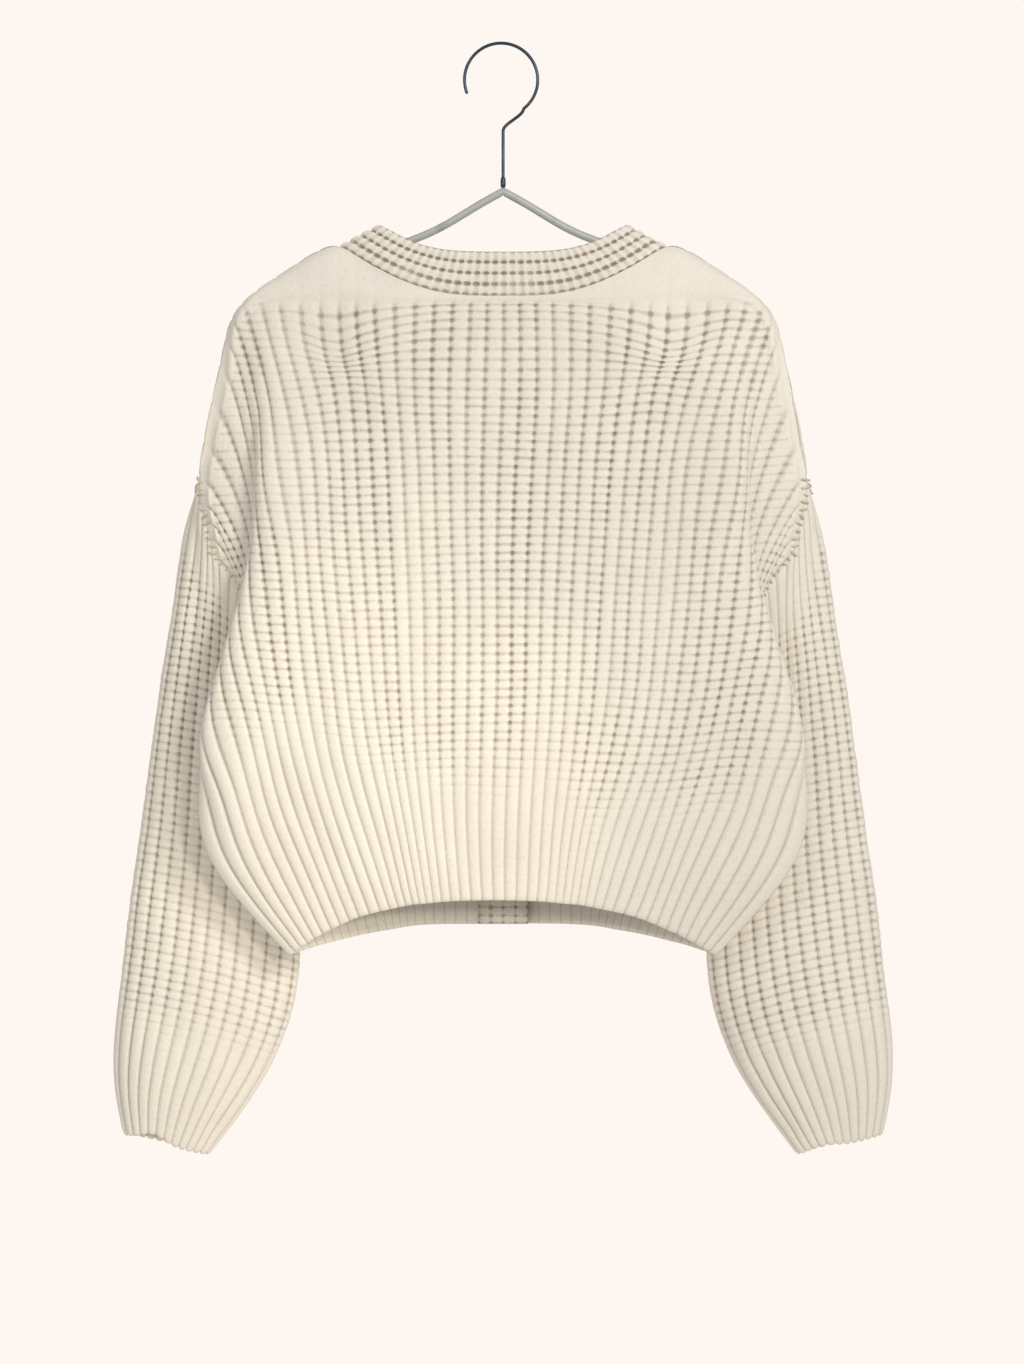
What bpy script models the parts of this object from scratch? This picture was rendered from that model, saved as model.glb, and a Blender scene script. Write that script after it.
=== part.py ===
"""A chunky fisherman's-rib cardigan on a slim hanger.

+Z is up, +Y is the wearer's back and +X the wearer's left. The origin is the inner top of the hook,
where a rail carries it. Tables and sizes are in millimetres, and the finished meshes in metres.

Each panel is a grid: "rib" counts the knitted ribs out from the centre line, and "course" runs down
the cloth from the top edge (0) to the hem (8.4). The tables say where the guide ribs lie at named
courses, and smooth curves through them give every other point.
"""
import math

import bmesh
import bpy
import numpy as np

MM = 0.001

# Cloth
WALL = 2.6              # plain thickness under the ribs
SEAM_WALL = 1.9         # and where the cloth is sewn
THIN_SEAM_WALL = 1.4    # and round the top of the sleeve and along the band
SLEEVE_TIP_WALL = 0.8   # and at its very tip
RIB_RISE = 3.2          # height of a rib over its grooves
SEAM_GAP = 0.2          # each edge stands back this far from its seam line
SLEEVE_GAP = 0.45       # and the sleeve from the armhole
UNDERARM_GAP = 2.2      # at the underarm point
SIDE_TOP_GAP = 1.4      # at the top of the side seam
LEAST_WALL = 1.2
SHARED_FROM = 0.6       # body and sleeve share a seam's direction if theirs agree at least this well
SHARPEST = 0.5          # a corner of the armhole counts as no sharper than this half-angle sine
SEAM_REACH = 12         # a panel bends toward its seam over this width
RISE_PER_WIDTH = 0.42   # a rib is no higher than this part of the width of its crest
SEAM_RISE = 0.15        # ribs start this low at a seam
PRESSED = 0.8           # ribs lose this part of their height in the fold under the arm,
PRESSED_RIBS = 3        # within this many ribs of the underarm
PRESSED_COURSES = 1.3   # and this many courses
KEPT_SPACING = 0.35     # offset points keep at least this part of their spacing
CREST_AT = (0.0, 0.22, 0.78)    # groove, then both shoulders of a rib, as parts of its width
CREST_RISE = (0.0, 1.0, 1.0)

# Courses where the guide ribs are known, and the courses that the mesh has
COURSES = np.array([0.0, 0.12, 0.4, 1.4, 2.4, 3.4, 4.4, 5.4, 6.4, 7.4, 8.4])
MESH_COURSES = np.array([0.0, 0.12, 0.4, 1.4, 2.1, 2.4, 3.4, 4.4, 5.4, 6.4, 7.4, 8.4])
UNDERARM_ROW = 5        # the mesh course where the sleeve ends and the side seam starts
SHOULDER_RIB = 20       # the rib where the sleeve starts
NECK_RIB = 9            # the rib where neck and shoulder meet
SIDE_RIB = 24
FINE_SIDE = ((22, 24),)         # ribs where the inner grid is as fine as the outer one
FINE_SLEEVE = ((0, 1), (4, 5), (11, 13), (19, 20), (23, 24))
FRONT_EDGE_RIB = 2

# The shoulder is rounded over the hanger: the second course bulges by this much.
CROWN_DEPTH = 5.2
CROWN_LIFT = 1.5
CROWN_AT = 0.2          # part of the way from the top edge to the rib line, near the neck
CROWN_AT_OUTER = 0.5    # and at the shoulder point

# The armhole is scooped out of the panels: it is deepest just above the underarm.
UNDERARM_COURSE = 2.4
SCOOP_RIBS = 1.8
SCOOP_BEND = 0.6        # courses over which the scoop rounds into the side seam
SCOOP_FADE = 1.4        # and over which it runs out toward the corner above

# Heights of each guide rib: its top edge, the line where the ribs start, and its hem.
HEIGHTS = {
    # rib: (edge, line, back hem, front hem)
    0: (-217.6, -222, -734, -757),
    5: (-208, -222, -735.5, -758),
    8: (-181, -222, -737.5, -759),
    9: (-173.5, -222, -738, -760),
    11: (-188.5, -222.5, -740.5, -762),
    13: (-212, -226, -744, -764),
    15: (-236, -251, -749, -767),
    17: (-275, -290, -756, -770),
    20: (-371, -381, -768, -775),
    22: (-408, -416, -776, -779),
    24: (-437, -446, -783, -783),
}

# Distance of each guide rib from the centre line of the back, course by course.
BACK_ACROSS = {
    # rib: (edge, line, then eighths of the way to the hem)
    5: (76, 75, 74, 69.5, 66, 62.5, 60.5, 56.5, 50.5, 44.5),
    8: (127.5, 126, 118.5, 110.5, 105, 99.5, 95, 87.5, 75, 64),
    9: (142, 141, 132.5, 123.5, 117.5, 111.5, 106.5, 97, 82.5, 70),
    11: (177, 175.5, 162, 147.5, 142, 136.5, 129.5, 118.5, 100, 83),
    13: (212, 208, 189, 174, 166, 160.5, 152, 140, 120, 99),
    15: (233, 226, 208, 202, 190, 182.5, 174, 159.5, 140.5, 118),
    17: (240, 231, 218, 212, 213, 204.5, 192.5, 179, 158, 135),
    20: (258, 248, 226, 220, 237, 232, 219, 205, 183.5, 159),
    22: (256, 246, 228, 221, 243, 255, 241, 226, 203, 172),
    24: (250, 241, 218, 206, 222, 250, 260, 251, 221, 183),
}

# Depth of the back over the plane of the hanger.
BACK_DEPTH = {
    0: (20, 22, 27, 34, 40, 47, 53, 55, 49, 36),
    5: (17, 21, 27, 34, 40, 46.5, 52.5, 54, 48, 35),
    8: (7.5, 18.5, 26.5, 34, 39.5, 46, 51.5, 52.5, 46, 33),
    9: (0, 17, 26, 33.5, 39.5, 46, 51, 52, 45, 32),
    11: (0, 15, 25.5, 33, 39, 45.5, 49.5, 50, 42, 29),
    13: (0, 12, 24, 33, 39, 44, 48, 47, 39, 26),
    15: (0, 9, 20, 33, 39, 43, 46, 44.5, 36, 23),
    17: (2, 7, 12, 19, 34, 42, 44, 41, 32, 19),
    20: (-2, 3, 4, 8, 23, 35, 38, 33, 24, 12),
    22: (-4, 0, -3, -5, 9, 22, 31, 28, 18, 7),
    24: (-8, -8, -15, -30, -7, 4, 12, 13, 8, 0),
}

# The centre ribs drift to the wearer's left on their way down.
CENTRE_LEAN = (0, 0, 1, 3, 4.5, 5, 5.5, 7.5, 9, 8)

# The front panels: across and depth of their guide ribs. Rib 2 carries the band.
FRONT_ACROSS = {
    2: (21.5, 21.5, 21.5, 21.5, 21.5, 21.5, 21.5, 21.5, 21.5, 21.5),
    9: (142, 141, 131, 121, 113, 106, 102, 98, 91, 83),
    11: (177, 175.5, 162, 149, 138, 129, 122.5, 118, 108, 95),
    13: (212, 208, 188, 171, 157, 146, 140, 136, 125, 108),
    15: (233, 227, 203, 184, 167, 156, 154, 152, 142, 125),
    17: (240, 241, 218, 195, 176, 168, 172, 172, 158, 139),
    20: (258, 252, 228, 199, 184, 189, 204, 202, 184, 160),
    22: (260, 250, 229, 198, 196, 216, 231, 224, 203, 172),
    24: (254, 245, 221, 206, 222, 250, 260, 251, 221, 183),
}
FRONT_DEPTH = {
    2: (0, -16, -25, -34, -41, -47, -51, -53, -48, -37),
    9: (0, -15, -24, -32, -38, -42, -44, -44, -39, -31),
    11: (0, -14, -23.5, -31, -36, -38, -38, -37.5, -33.5, -27),
    13: (0, -12, -22, -30, -33, -34, -32, -30, -27, -23),
    15: (0, -9, -20, -28, -29, -29, -26, -22, -20, -19),
    17: (2, -9, -22, -25, -24, -20, -15, -11, -11, -15),
    20: (-2, -14, -29, -28, -18, -10, -2, 2, -1, -8),
    22: (-28, -35, -41, -29, -13, -3, 6, 8, 4, -4),
    24: (-44, -47, -51, -30, -7, 4, 12, 13, 8, 0),
}
FRONT_TOP_HEIGHTS = {20: (-371, -379), 22: (-392, -400), 24: (-427, -436)}

# The V neck and the band
V_POINT = -430          # height where the neckline leaves the front edge
BAND_WIDTH = 43
BAND_RIBS = 4
BAND_GAP = 0.5
FRONT_LAP = 4.2         # the right front lies this far before the middle, the left as far behind
LAP_FULL_RIB = 5        # the lap is full up to this rib and gone at the neck rib
NECKLINE_SHIFT = (-39, 0, 18)       # from the neckline to the band's free edge
BACK_NECK_FREE = {
    # rib under it: free edge of the band (across, depth, height)
    0: (0, 15, -179.5),
    3: (36, 14.5, -178.7),
    5: (58, 13.5, -176),
    6.5: (78, 11, -170),
    8: (97, 7, -160),
    9: (106, 0, -155),
}

# Sleeve rings: their outer and inner ends, and half their depth from front to back
SLEEVE_RIBS = 24
SLEEVE_TURN = 1.0       # ribs by which the shoulder point lies behind the outermost rib
UNDERARM_TURN = 0.2     # and by which the underarm lies in front of the innermost rib
SLEEVE_RINGS = (
    # outer_x, outer_y, outer_z, inner_x, inner_y, inner_z, half_depth
    (277, -40, -430, 210, -58, -564, 28),
    (286, -50, -487, 205, -62, -610, 30),
    (296, -57, -545, 196, -62, -659, 31),
    (305, -60, -606, 187, -61, -706, 32),
    (313, -61, -667, 181, -61, -752, 31),
    (322, -61, -727, 181, -61, -796, 30),
    (329, -60, -788, 188, -60, -838, 30),
    (336, -59, -849, 207, -59, -885, 29),
    (337, -58, -900, 233, -58, -926, 23),
    (330, -57, -943, 258, -57, -960, 14),
)

# Buttons
BUTTON_HEIGHTS = (-446, -516, -586, -656, -724)
BUTTON_RADIUS = 12
BUTTON_THICK = 4.4
BUTTON_RIM = 1.1
BUTTON_SIDES = 18
BUTTON_GAP = 0.3

# Hanger
ARM_RADIUS = 3.4
ARM_ROUTE = ((0, -126), (24, -139.5), (48, -154), (72, -165.5), (94, -173), (116, -179.5),
             (136, -185.5), (156, -193.5), (176, -204), (192, -213), (204, -220.5))
HOOK_RADIUS = 31.5
HOOK_WIRE = 1.4
HOOK_SIDE = 1.7         # the hook's middle lies this far to the wearer's left of the stem
HOOK_TIP_ANGLE = -20     # degrees; the arc runs from its free tip over the top to the foot
HOOK_FOOT_ANGLE = 232
HOOK_STEM_TOP = -74
HOOK_SEAT = 3.75        # the stem ends this far over the middle of the arms' peak

# Colours: base colour, roughness, metallic
WOOL = ((0.80, 0.74, 0.62), 0.95, 0.0)
WOOL_BAND = ((0.78, 0.72, 0.60), 0.95, 0.0)
HORN = ((0.42, 0.33, 0.22), 0.35, 0.0)
PALE_METAL = ((0.55, 0.57, 0.58), 0.4, 1.0)
DARK_WIRE = ((0.07, 0.09, 0.12), 0.35, 1.0)


def natural_spline(knots, values, at):
    """Smooth curve through values at the knots, read at the places in `at`."""
    knots = np.asarray(knots, float)
    values = np.asarray(values, float)
    count = len(knots)
    shape = values.shape[1:]
    values = values.reshape(count, -1)
    step = np.diff(knots)
    system = np.eye(count)
    right = np.zeros(values.shape)
    for i in range(1, count - 1):
        system[i, i - 1:i + 2] = step[i - 1], 2 * (step[i - 1] + step[i]), step[i]
        rise_after = (values[i + 1] - values[i]) / step[i]
        rise_before = (values[i] - values[i - 1]) / step[i - 1]
        right[i] = 6 * (rise_after - rise_before)
    bend = np.linalg.solve(system, right)
    at = np.asarray(at, float)
    cell = np.clip(np.searchsorted(knots, at, side="right") - 1, 0, count - 2)
    width = step[cell][:, None]
    low = (knots[cell + 1] - at)[:, None] / width
    high = 1 - low
    inside_low = np.clip(low, 0, 1)
    inside_high = np.clip(high, 0, 1)
    curve = (inside_low ** 3 - inside_low) * bend[cell] + (inside_high ** 3 - inside_high) * bend[cell + 1]
    result = low * values[cell] + high * values[cell + 1] + curve * width ** 2 / 6
    return result.reshape((len(at),) + shape)


def spline_weights(knots, at):
    """How much the value at each knot counts at the places `at`."""
    flat = natural_spline(knots, np.eye(len(knots)), np.ravel(at))
    return flat.reshape(np.shape(at) + (len(knots),))


def unit(vectors):
    length = np.linalg.norm(vectors, axis=-1, keepdims=True)
    return vectors / np.maximum(length, 1e-9)


def smooth_step(value):
    value = np.clip(value, 0.0, 1.0)
    return value * value * (3 - 2 * value)


class Drape:
    """A hanging panel: guide ribs at named courses, with smooth curves between them."""

    def __init__(self, ribs, net, facing):
        self.ribs = ribs
        self.net = net
        self.facing = facing        # +1 for the back and -1 for a front

    def points(self, rib, course):
        """Points for a grid of ribs and courses."""
        rib = np.broadcast_to(rib, course.shape)
        across = spline_weights(self.ribs, rib)
        down = spline_weights(COURSES, course)
        return np.einsum("mnr,mnc,rcx->mnx", across, down, self.net)

    def normals(self, rib, course):
        """Outward directions."""
        side = 0.2
        down = 0.06
        across = self.points(rib + side, course) - self.points(rib - side, course)
        along = self.points(rib, course + down) - self.points(rib, course - down)
        return unit(np.cross(across, along)) * self.facing


def course_heights(top, line, hem):
    eighths = [line + (hem - line) * i / 8 for i in range(1, 9)]
    return [top, line] + eighths


def crowned(net, rib, facing):
    """Add the rounded second course to a guide rib's (across, depth, height) rows."""
    edge, line = net[0], net[1]
    share = smooth_step((rib - 7.5) / 1.5) * (1 - smooth_step((rib - 14) / 4))
    bulge = np.array([0.0, facing * CROWN_DEPTH, CROWN_LIFT]) * share
    outward = smooth_step((rib - 13) / 4)
    crown = edge + (line - edge) * (CROWN_AT + (CROWN_AT_OUTER - CROWN_AT) * outward) + bulge
    return np.insert(net, 1, crown, axis=0)


def back_drape():
    ribs = sorted(HEIGHTS)
    net = []
    for rib in ribs:
        across = np.array(BACK_ACROSS.get(rib, [0.0] * len(CENTRE_LEAN)), float)
        height = course_heights(*HEIGHTS[rib][:3])
        rows = np.stack([across, BACK_DEPTH[rib], height], axis=-1)
        net.append(crowned(rows, rib, 1.0))
    lean = np.insert(np.array(CENTRE_LEAN, float), 1, 0.0)
    both = [rows * (-1, 1, 1) for rows in net[:0:-1]] + net
    both_ribs = [-rib for rib in ribs[:0:-1]] + ribs
    for rib, rows in zip(both_ribs, both):
        rows[:, 0] += lean * (1 - (rib / SIDE_RIB) ** 2)
    return Drape(both_ribs, np.array(both), 1.0)


def front_drape(lap):
    """The wearer's left front. `lap` moves its inner ribs back (+) or forward (-)."""
    ribs = sorted(FRONT_ACROSS)
    net = []
    for rib in ribs:
        top, line, _, hem = HEIGHTS.get(rib, HEIGHTS[5])
        if rib == FRONT_EDGE_RIB:
            top = HEIGHTS[NECK_RIB][0]
        top, line = FRONT_TOP_HEIGHTS.get(rib, (top, line))
        height = course_heights(top, line, hem)
        if rib == SIDE_RIB:
            height[3:] = course_heights(*HEIGHTS[rib][:3])[3:]
        share = 1 - smooth_step((rib - LAP_FULL_RIB) / (NECK_RIB - LAP_FULL_RIB))
        depth = np.array(FRONT_DEPTH[rib], float) + lap * share
        rows = np.stack([np.array(FRONT_ACROSS[rib], float), depth, height], axis=-1)
        net.append(crowned(rows, max(rib, NECK_RIB), -1.0))
    return Drape(ribs, np.array(net), -1.0)


def rib_columns(first, last):
    """Rib positions of the outer columns, and the rise of each over the grooves."""
    places = []
    rises = []
    for rib in range(first, last):
        for at, rise in zip(CREST_AT, CREST_RISE):
            places.append(rib + at)
            rises.append(rise)
    return np.array(places + [last], float), np.array(rises + [0.0])


def scooped(rib, course):
    """The ribs of a panel's columns, drawn in where the armhole is cut out."""
    above = UNDERARM_COURSE - course
    opened = np.sqrt(1 - (1 - np.clip(above / SCOOP_BEND, 0, 1)) ** 2)
    opened = opened * (1 - smooth_step((above - SCOOP_BEND) / SCOOP_FADE))
    share = np.clip((np.abs(rib) - SHOULDER_RIB) / (SIDE_RIB - SHOULDER_RIB), 0, 1)
    return rib - np.sign(rib) * SCOOP_RIBS * opened * share


def neckline_course(drape, rib):
    """The course where a front rib meets the V neckline."""
    course = np.linspace(0.0, COURSES[-1], 600)
    path = drape.points(np.array([rib]), course[:, None])[:, 0]
    neck_x = FRONT_ACROSS[NECK_RIB][0]
    edge_x = FRONT_ACROSS[FRONT_EDGE_RIB][0]
    neck_z = HEIGHTS[NECK_RIB][0]
    slope = (neck_z - V_POINT) / (neck_x - edge_x)
    over = path[:, 2] - (V_POINT + (path[:, 0] - edge_x) * slope)
    return course[np.argmax(over <= 0)]


def inner_columns(ribs, fine):
    """Columns of the inner grid: one a rib, and all of them within the `fine` spans of ribs."""
    chosen = []
    for j, rib in enumerate(ribs):
        if abs(rib - round(rib)) < 1e-6 or any(low <= abs(rib) <= high for low, high in fine):
            chosen.append(j)
    return chosen


def cloth_wall(name, points, normals, rises, walls, inner_at, closed=False):
    """A closed wall: ribbed outer grid, plain coarser inner grid, and the edges between them."""
    rows, columns = points.shape[:2]
    rises = ease_offsets(points, normals, rises, 0.0, closed)
    outer = points + normals * rises[..., None]
    inner_points = points[:, inner_at]
    inner_normals = normals[:, inner_at]
    depths = -ease_offsets(inner_points, inner_normals, -walls[:, inner_at], LEAST_WALL, closed)
    inner = inner_points - inner_normals * depths[..., None]
    mesh = bmesh.new()
    outside = [[mesh.verts.new(p * MM) for p in row] for row in outer]
    inside = [[mesh.verts.new(p * MM) for p in row] for row in inner]
    spans = columns if closed else columns - 1
    cells = len(inner_at) if closed else len(inner_at) - 1
    ends = inner_at[1:] + [columns]
    for i in range(rows - 1):
        for j in range(spans):
            k = (j + 1) % columns
            mesh.faces.new((outside[i][j], outside[i][k], outside[i + 1][k], outside[i + 1][j]))
        for j in range(cells):
            k = (j + 1) % len(inner_at)
            mesh.faces.new((inside[i][j], inside[i + 1][j], inside[i + 1][k], inside[i][k]))
    for i in (0, rows - 1):
        for j in range(cells):
            k = (j + 1) % len(inner_at)
            middle = (inner_at[j] + ends[j]) // 2
            for column in range(inner_at[j], ends[j]):
                pivot = inside[i][j] if column < middle else inside[i][k]
                mesh.faces.new((pivot, outside[i][column], outside[i][(column + 1) % columns]))
            mesh.faces.new((inside[i][j], outside[i][middle], inside[i][k]))
    if not closed:
        for i in range(rows - 1):
            for out_column, in_column in ((0, 0), (columns - 1, len(inner_at) - 1)):
                mesh.faces.new((outside[i][out_column], outside[i + 1][out_column],
                                inside[i + 1][in_column], inside[i][in_column]))
    bmesh.ops.recalc_face_normals(mesh, faces=mesh.faces)
    data = bpy.data.meshes.new(name)
    mesh.to_mesh(data)
    mesh.free()
    part = bpy.data.objects.new(name, data)
    return part


def stand_back(edge, neighbour, gap, closed=False):
    """Points of a seam edge, moved into the cloth and square to the seam line."""
    if closed:
        along = np.roll(edge, -1, axis=0) - np.roll(edge, 1, axis=0)
        bend = np.sum(unit(np.roll(edge, 1, axis=0) - edge) * unit(np.roll(edge, -1, axis=0) - edge), axis=-1)
        half_angle_sine = np.sqrt(np.clip((1 - bend) / 2, SHARPEST ** 2, 1.0))
        gap = gap / half_angle_sine[:, None]
    else:
        along = np.gradient(edge, axis=0)
    along = unit(along)
    inward = neighbour - edge
    inward = unit(inward - np.sum(inward * along, axis=-1, keepdims=True) * along)
    if closed:
        inward = unit(np.roll(inward, 1, axis=0) + 2 * inward + np.roll(inward, -1, axis=0))
    return edge + inward * gap


def ease_offsets(points, normals, amounts, least, closed=False):
    """Lower the offsets wherever neighbouring offset points would meet or pass each other."""
    amounts = amounts.copy()
    for _ in range(8):
        moved = points + normals * amounts[..., None]
        for axis in (0, 1):
            wrap = closed and axis == 1
            step = np.roll(points, -1, axis=axis) - points
            after = np.roll(moved, -1, axis=axis) - moved
            kept = np.sum(step * after, axis=-1) / np.maximum(np.sum(step * step, axis=-1), 1e-9)
            tight = kept < KEPT_SPACING
            if not wrap:
                tight[(-1,) if axis == 0 else (slice(None), -1)] = False
            tight = tight | np.roll(tight, 1, axis=axis)
            sign = np.sign(amounts)
            lower = sign * np.maximum(np.abs(amounts) * 0.75, least)
            lower = np.where(np.abs(amounts) < least, amounts, lower)
            amounts = np.where(tight, lower, amounts)
    return amounts


def panel_rises(points, column_rise, rib, plain_top):
    """Rib height over the panel: lower where ribs are narrow, and flat above the rib line."""
    down = unit(np.gradient(points, axis=0))[:, 1:-1]
    span = points[:, 2:] - points[:, :-2]
    span = span - np.sum(span * down, axis=-1, keepdims=True) * down
    width = np.empty(points.shape[:2])
    width[:, 1:-1] = np.linalg.norm(span, axis=-1)
    width[:, 0] = width[:, 1]
    width[:, -1] = width[:, -2]
    rise = np.minimum(RIB_RISE, RISE_PER_WIDTH * width) * column_rise
    if plain_top:
        near = 1 - smooth_step(np.abs(MESH_COURSES - UNDERARM_COURSE) / PRESSED_COURSES)
        side = smooth_step((np.abs(rib) - SIDE_RIB + PRESSED_RIBS) / PRESSED_RIBS)
        rise *= 1 - PRESSED * near[:, None] * side[None, :]
        for row, share in ((0, 0.15), (1, 0.15), (2, 0.0)):
            yoke = np.abs(rib) <= 13
            rise[row, yoke] = column_rise[yoke] * RIB_RISE * share
            rise[row, ~yoke] *= SEAM_RISE + row * 0.3
    return rise


def ease_normals(points, normals, seam_reach):
    """Turn the directions near the top edge and the outer side edge toward those of the edge."""
    for row in range(1, 5):
        away = np.linalg.norm(points[row] - points[0], axis=-1)
        share = (1 - smooth_step(away / seam_reach))[:, None]
        normals[row] = unit(normals[row] * (1 - share) + normals[0] * share)
    for column in range(2, 8):
        away = np.linalg.norm(points[:, -column] - points[:, -1], axis=-1)
        share = (1 - smooth_step(away / seam_reach))[:, None]
        share[UNDERARM_ROW - 2:UNDERARM_ROW] = 0.0
        normals[:, -column] = unit(normals[:, -column] * (1 - share) + normals[:, -1] * share)


def mirrored(points):
    return points * np.array([-1.0, 1.0, 1.0])


def armhole_keys(back_ribs, front_ribs):
    """The left armhole as (panel, row, column): shoulder point, underarm, and up the front."""
    back_top = [j for j, rib in enumerate(back_ribs) if rib >= SHOULDER_RIB]
    front_top = [j for j, rib in enumerate(front_ribs) if rib >= SHOULDER_RIB]
    keys = [("back", 0, j) for j in back_top]
    keys += [("back", i, back_top[-1]) for i in range(1, UNDERARM_ROW + 1)]
    keys += [("front", i, front_top[-1]) for i in range(UNDERARM_ROW - 1, -1, -1)]
    keys += [("front", 0, j) for j in front_top[-2:0:-1]]
    return keys


def resample_loop(points, extra, underarm, places, directions=True):
    """Points at rib places: half the ribs run to the underarm and half from it."""
    total = len(points)
    half = SLEEVE_RIBS / 2
    result = []
    result_extra = []
    for first, last, start in ((0, underarm, 0.0), (underarm, total, half)):
        index = [i % total for i in range(first, last + 1)]
        stretch = points[index]
        steps = np.linalg.norm(np.diff(stretch, axis=0), axis=1)
        length = np.concatenate([[0.0], np.cumsum(steps)])
        chosen = places[(places >= start) & (places < start + half)]
        at = (chosen - start) / half * length[-1]
        result.append(np.stack([np.interp(at, length, stretch[:, c]) for c in range(3)], axis=1))
        result_extra.append(np.stack([np.interp(at, length, extra[index][:, c]) for c in range(3)], axis=1))
    extras = np.concatenate(result_extra)
    return np.concatenate(result), unit(extras) if directions else extras


def sleeve_ring(row, places):
    """One ring of the sleeve at the rib places, from the shoulder point round the back."""
    outer = np.array(row[0:3], float)
    inner = np.array(row[3:6], float)
    half_depth = row[6]
    middle = (outer + inner) / 2
    reach = (outer - inner) / 2
    fine = np.linspace(0.0, 2 * math.pi, 721)
    across = np.sign(np.cos(fine)) * np.abs(np.cos(fine)) ** 0.92
    deep = np.sign(np.sin(fine)) * np.abs(np.sin(fine)) ** 0.92
    curve = middle + across[:, None] * reach + deep[:, None] * np.array([0.0, half_depth, 0.0])
    length = np.concatenate([[0.0], np.cumsum(np.linalg.norm(np.diff(curve, axis=0), axis=1))])
    half = SLEEVE_RIBS / 2
    turned = np.interp(places, (0, half, SLEEVE_RIBS),
                       (SLEEVE_TURN, half + UNDERARM_TURN, SLEEVE_RIBS + SLEEVE_TURN))
    at = (turned / SLEEVE_RIBS * length[-1]) % length[-1]
    return np.stack([np.interp(at, length, curve[:, c]) for c in range(3)], axis=1)


def ring_normals(grid):
    ahead = np.roll(grid, -1, axis=1) - np.roll(grid, 1, axis=1)
    down = np.gradient(grid, axis=0)
    return unit(np.cross(down, ahead))


def sleeve_columns():
    places = []
    for rib in range(SLEEVE_RIBS):
        places += [rib + at for at in CREST_AT]
    rises = np.array(list(CREST_RISE) * SLEEVE_RIBS)
    return np.array(places), rises


def material(name, look):
    colour, roughness, metallic = look
    finish = bpy.data.materials.new(name)
    finish.use_nodes = True
    shader = finish.node_tree.nodes["Principled BSDF"]
    shader.inputs["Base Color"].default_value = (*colour, 1.0)
    shader.inputs["Roughness"].default_value = roughness
    shader.inputs["Metallic"].default_value = metallic
    return finish


def add(part, collection, finish):
    collection.objects.link(part)
    part.data.materials.append(finish)
    return part


def join_panels(back, back_n, front, front_n, half_ribs, front_ribs):
    """Give back and front the same shoulder and side seams, with one direction at each point."""
    shared = [(j, k) for j, rib in enumerate(half_ribs) for k, other in enumerate(front_ribs)
              if abs(rib - other) < 1e-6 and NECK_RIB <= rib <= SHOULDER_RIB]
    for j, k in shared:
        both = unit(back_n[0, j] + front_n[0, k])
        back_n[0, j] = both
        front_n[0, k] = both
        front[0, k] = back[0, j]
    for i in range(UNDERARM_ROW, len(MESH_COURSES)):
        both = unit(back_n[i, -1] + front_n[i, -1])
        back_n[i, -1] = both
        front_n[i, -1] = both
        front[i, -1] = back[i, -1]


def sleeve_sheet(back, back_n, front, front_n, half_ribs, front_ribs):
    """Points, directions and rib heights of the left sleeve, sewn to the armhole."""
    keys = armhole_keys(half_ribs, front_ribs)
    sheets = {"back": (back, back_n), "front": (front, front_n)}
    loop = np.array([sheets[panel][0][i, j] for panel, i, j in keys])
    loop_n = np.array([sheets[panel][1][i, j] for panel, i, j in keys])
    underarm = keys.index(("back", UNDERARM_ROW, len(half_ribs) - 1))
    places, rises = sleeve_columns()
    ring, _ = resample_loop(loop, loop_n, underarm, places)
    sleeve = np.array([ring] + [sleeve_ring(row, places) for row in SLEEVE_RINGS])
    sleeve_n = ring_normals(sleeve)
    sleeve_loop_n = loop_n.copy()
    loop_share = np.zeros(len(keys))
    for number, (panel, i, j) in enumerate(keys):
        nearest = np.argmin(np.linalg.norm(ring - loop[number], axis=1))
        body_n = loop_n[number]
        arm_n = sleeve_n[0, nearest]
        share = np.clip(body_n @ arm_n / SHARED_FROM, 0, 1)
        if number == underarm:
            share = 0.0
        loop_share[number] = share
        sleeve_loop_n[number] = unit(arm_n + share * body_n)
        sheets[panel][1][i, j] = unit(body_n + share * arm_n)
    sleeve_n[0] = resample_loop(loop, sleeve_loop_n, underarm, places)[1]
    for place, direction in zip(loop, sleeve_loop_n):
        nearest = np.argmin(np.linalg.norm(ring - place, axis=1))
        sleeve[0, nearest] = place
        sleeve_n[0, nearest] = direction
    width = np.linalg.norm(np.roll(sleeve, -1, axis=1) - np.roll(sleeve, 1, axis=1), axis=-1)
    rise = np.minimum(RIB_RISE, RISE_PER_WIDTH * width) * rises
    rise[0] *= SEAM_RISE
    shares = resample_loop(loop, np.repeat(loop_share[:, None], 3, axis=1), underarm, places, False)[1]
    seam_gap = UNDERARM_GAP + (SLEEVE_GAP - UNDERARM_GAP) * shares[:, 0]
    sleeve[0] = stand_back(sleeve[0], sleeve[1], seam_gap[:, None], closed=True)
    sleeve[0, 0] = (sleeve[0, 1] + sleeve[0, -1]) / 2 + unit(sleeve[1, 0] - sleeve[0, 0]) * SEAM_GAP
    under = 1 - smooth_step(np.abs(places - SLEEVE_RIBS / 2) / PRESSED_RIBS)
    rise[0] *= 1 - under
    rise[1] *= 1 - under * PRESSED
    return sleeve, sleeve_n, rise


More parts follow.
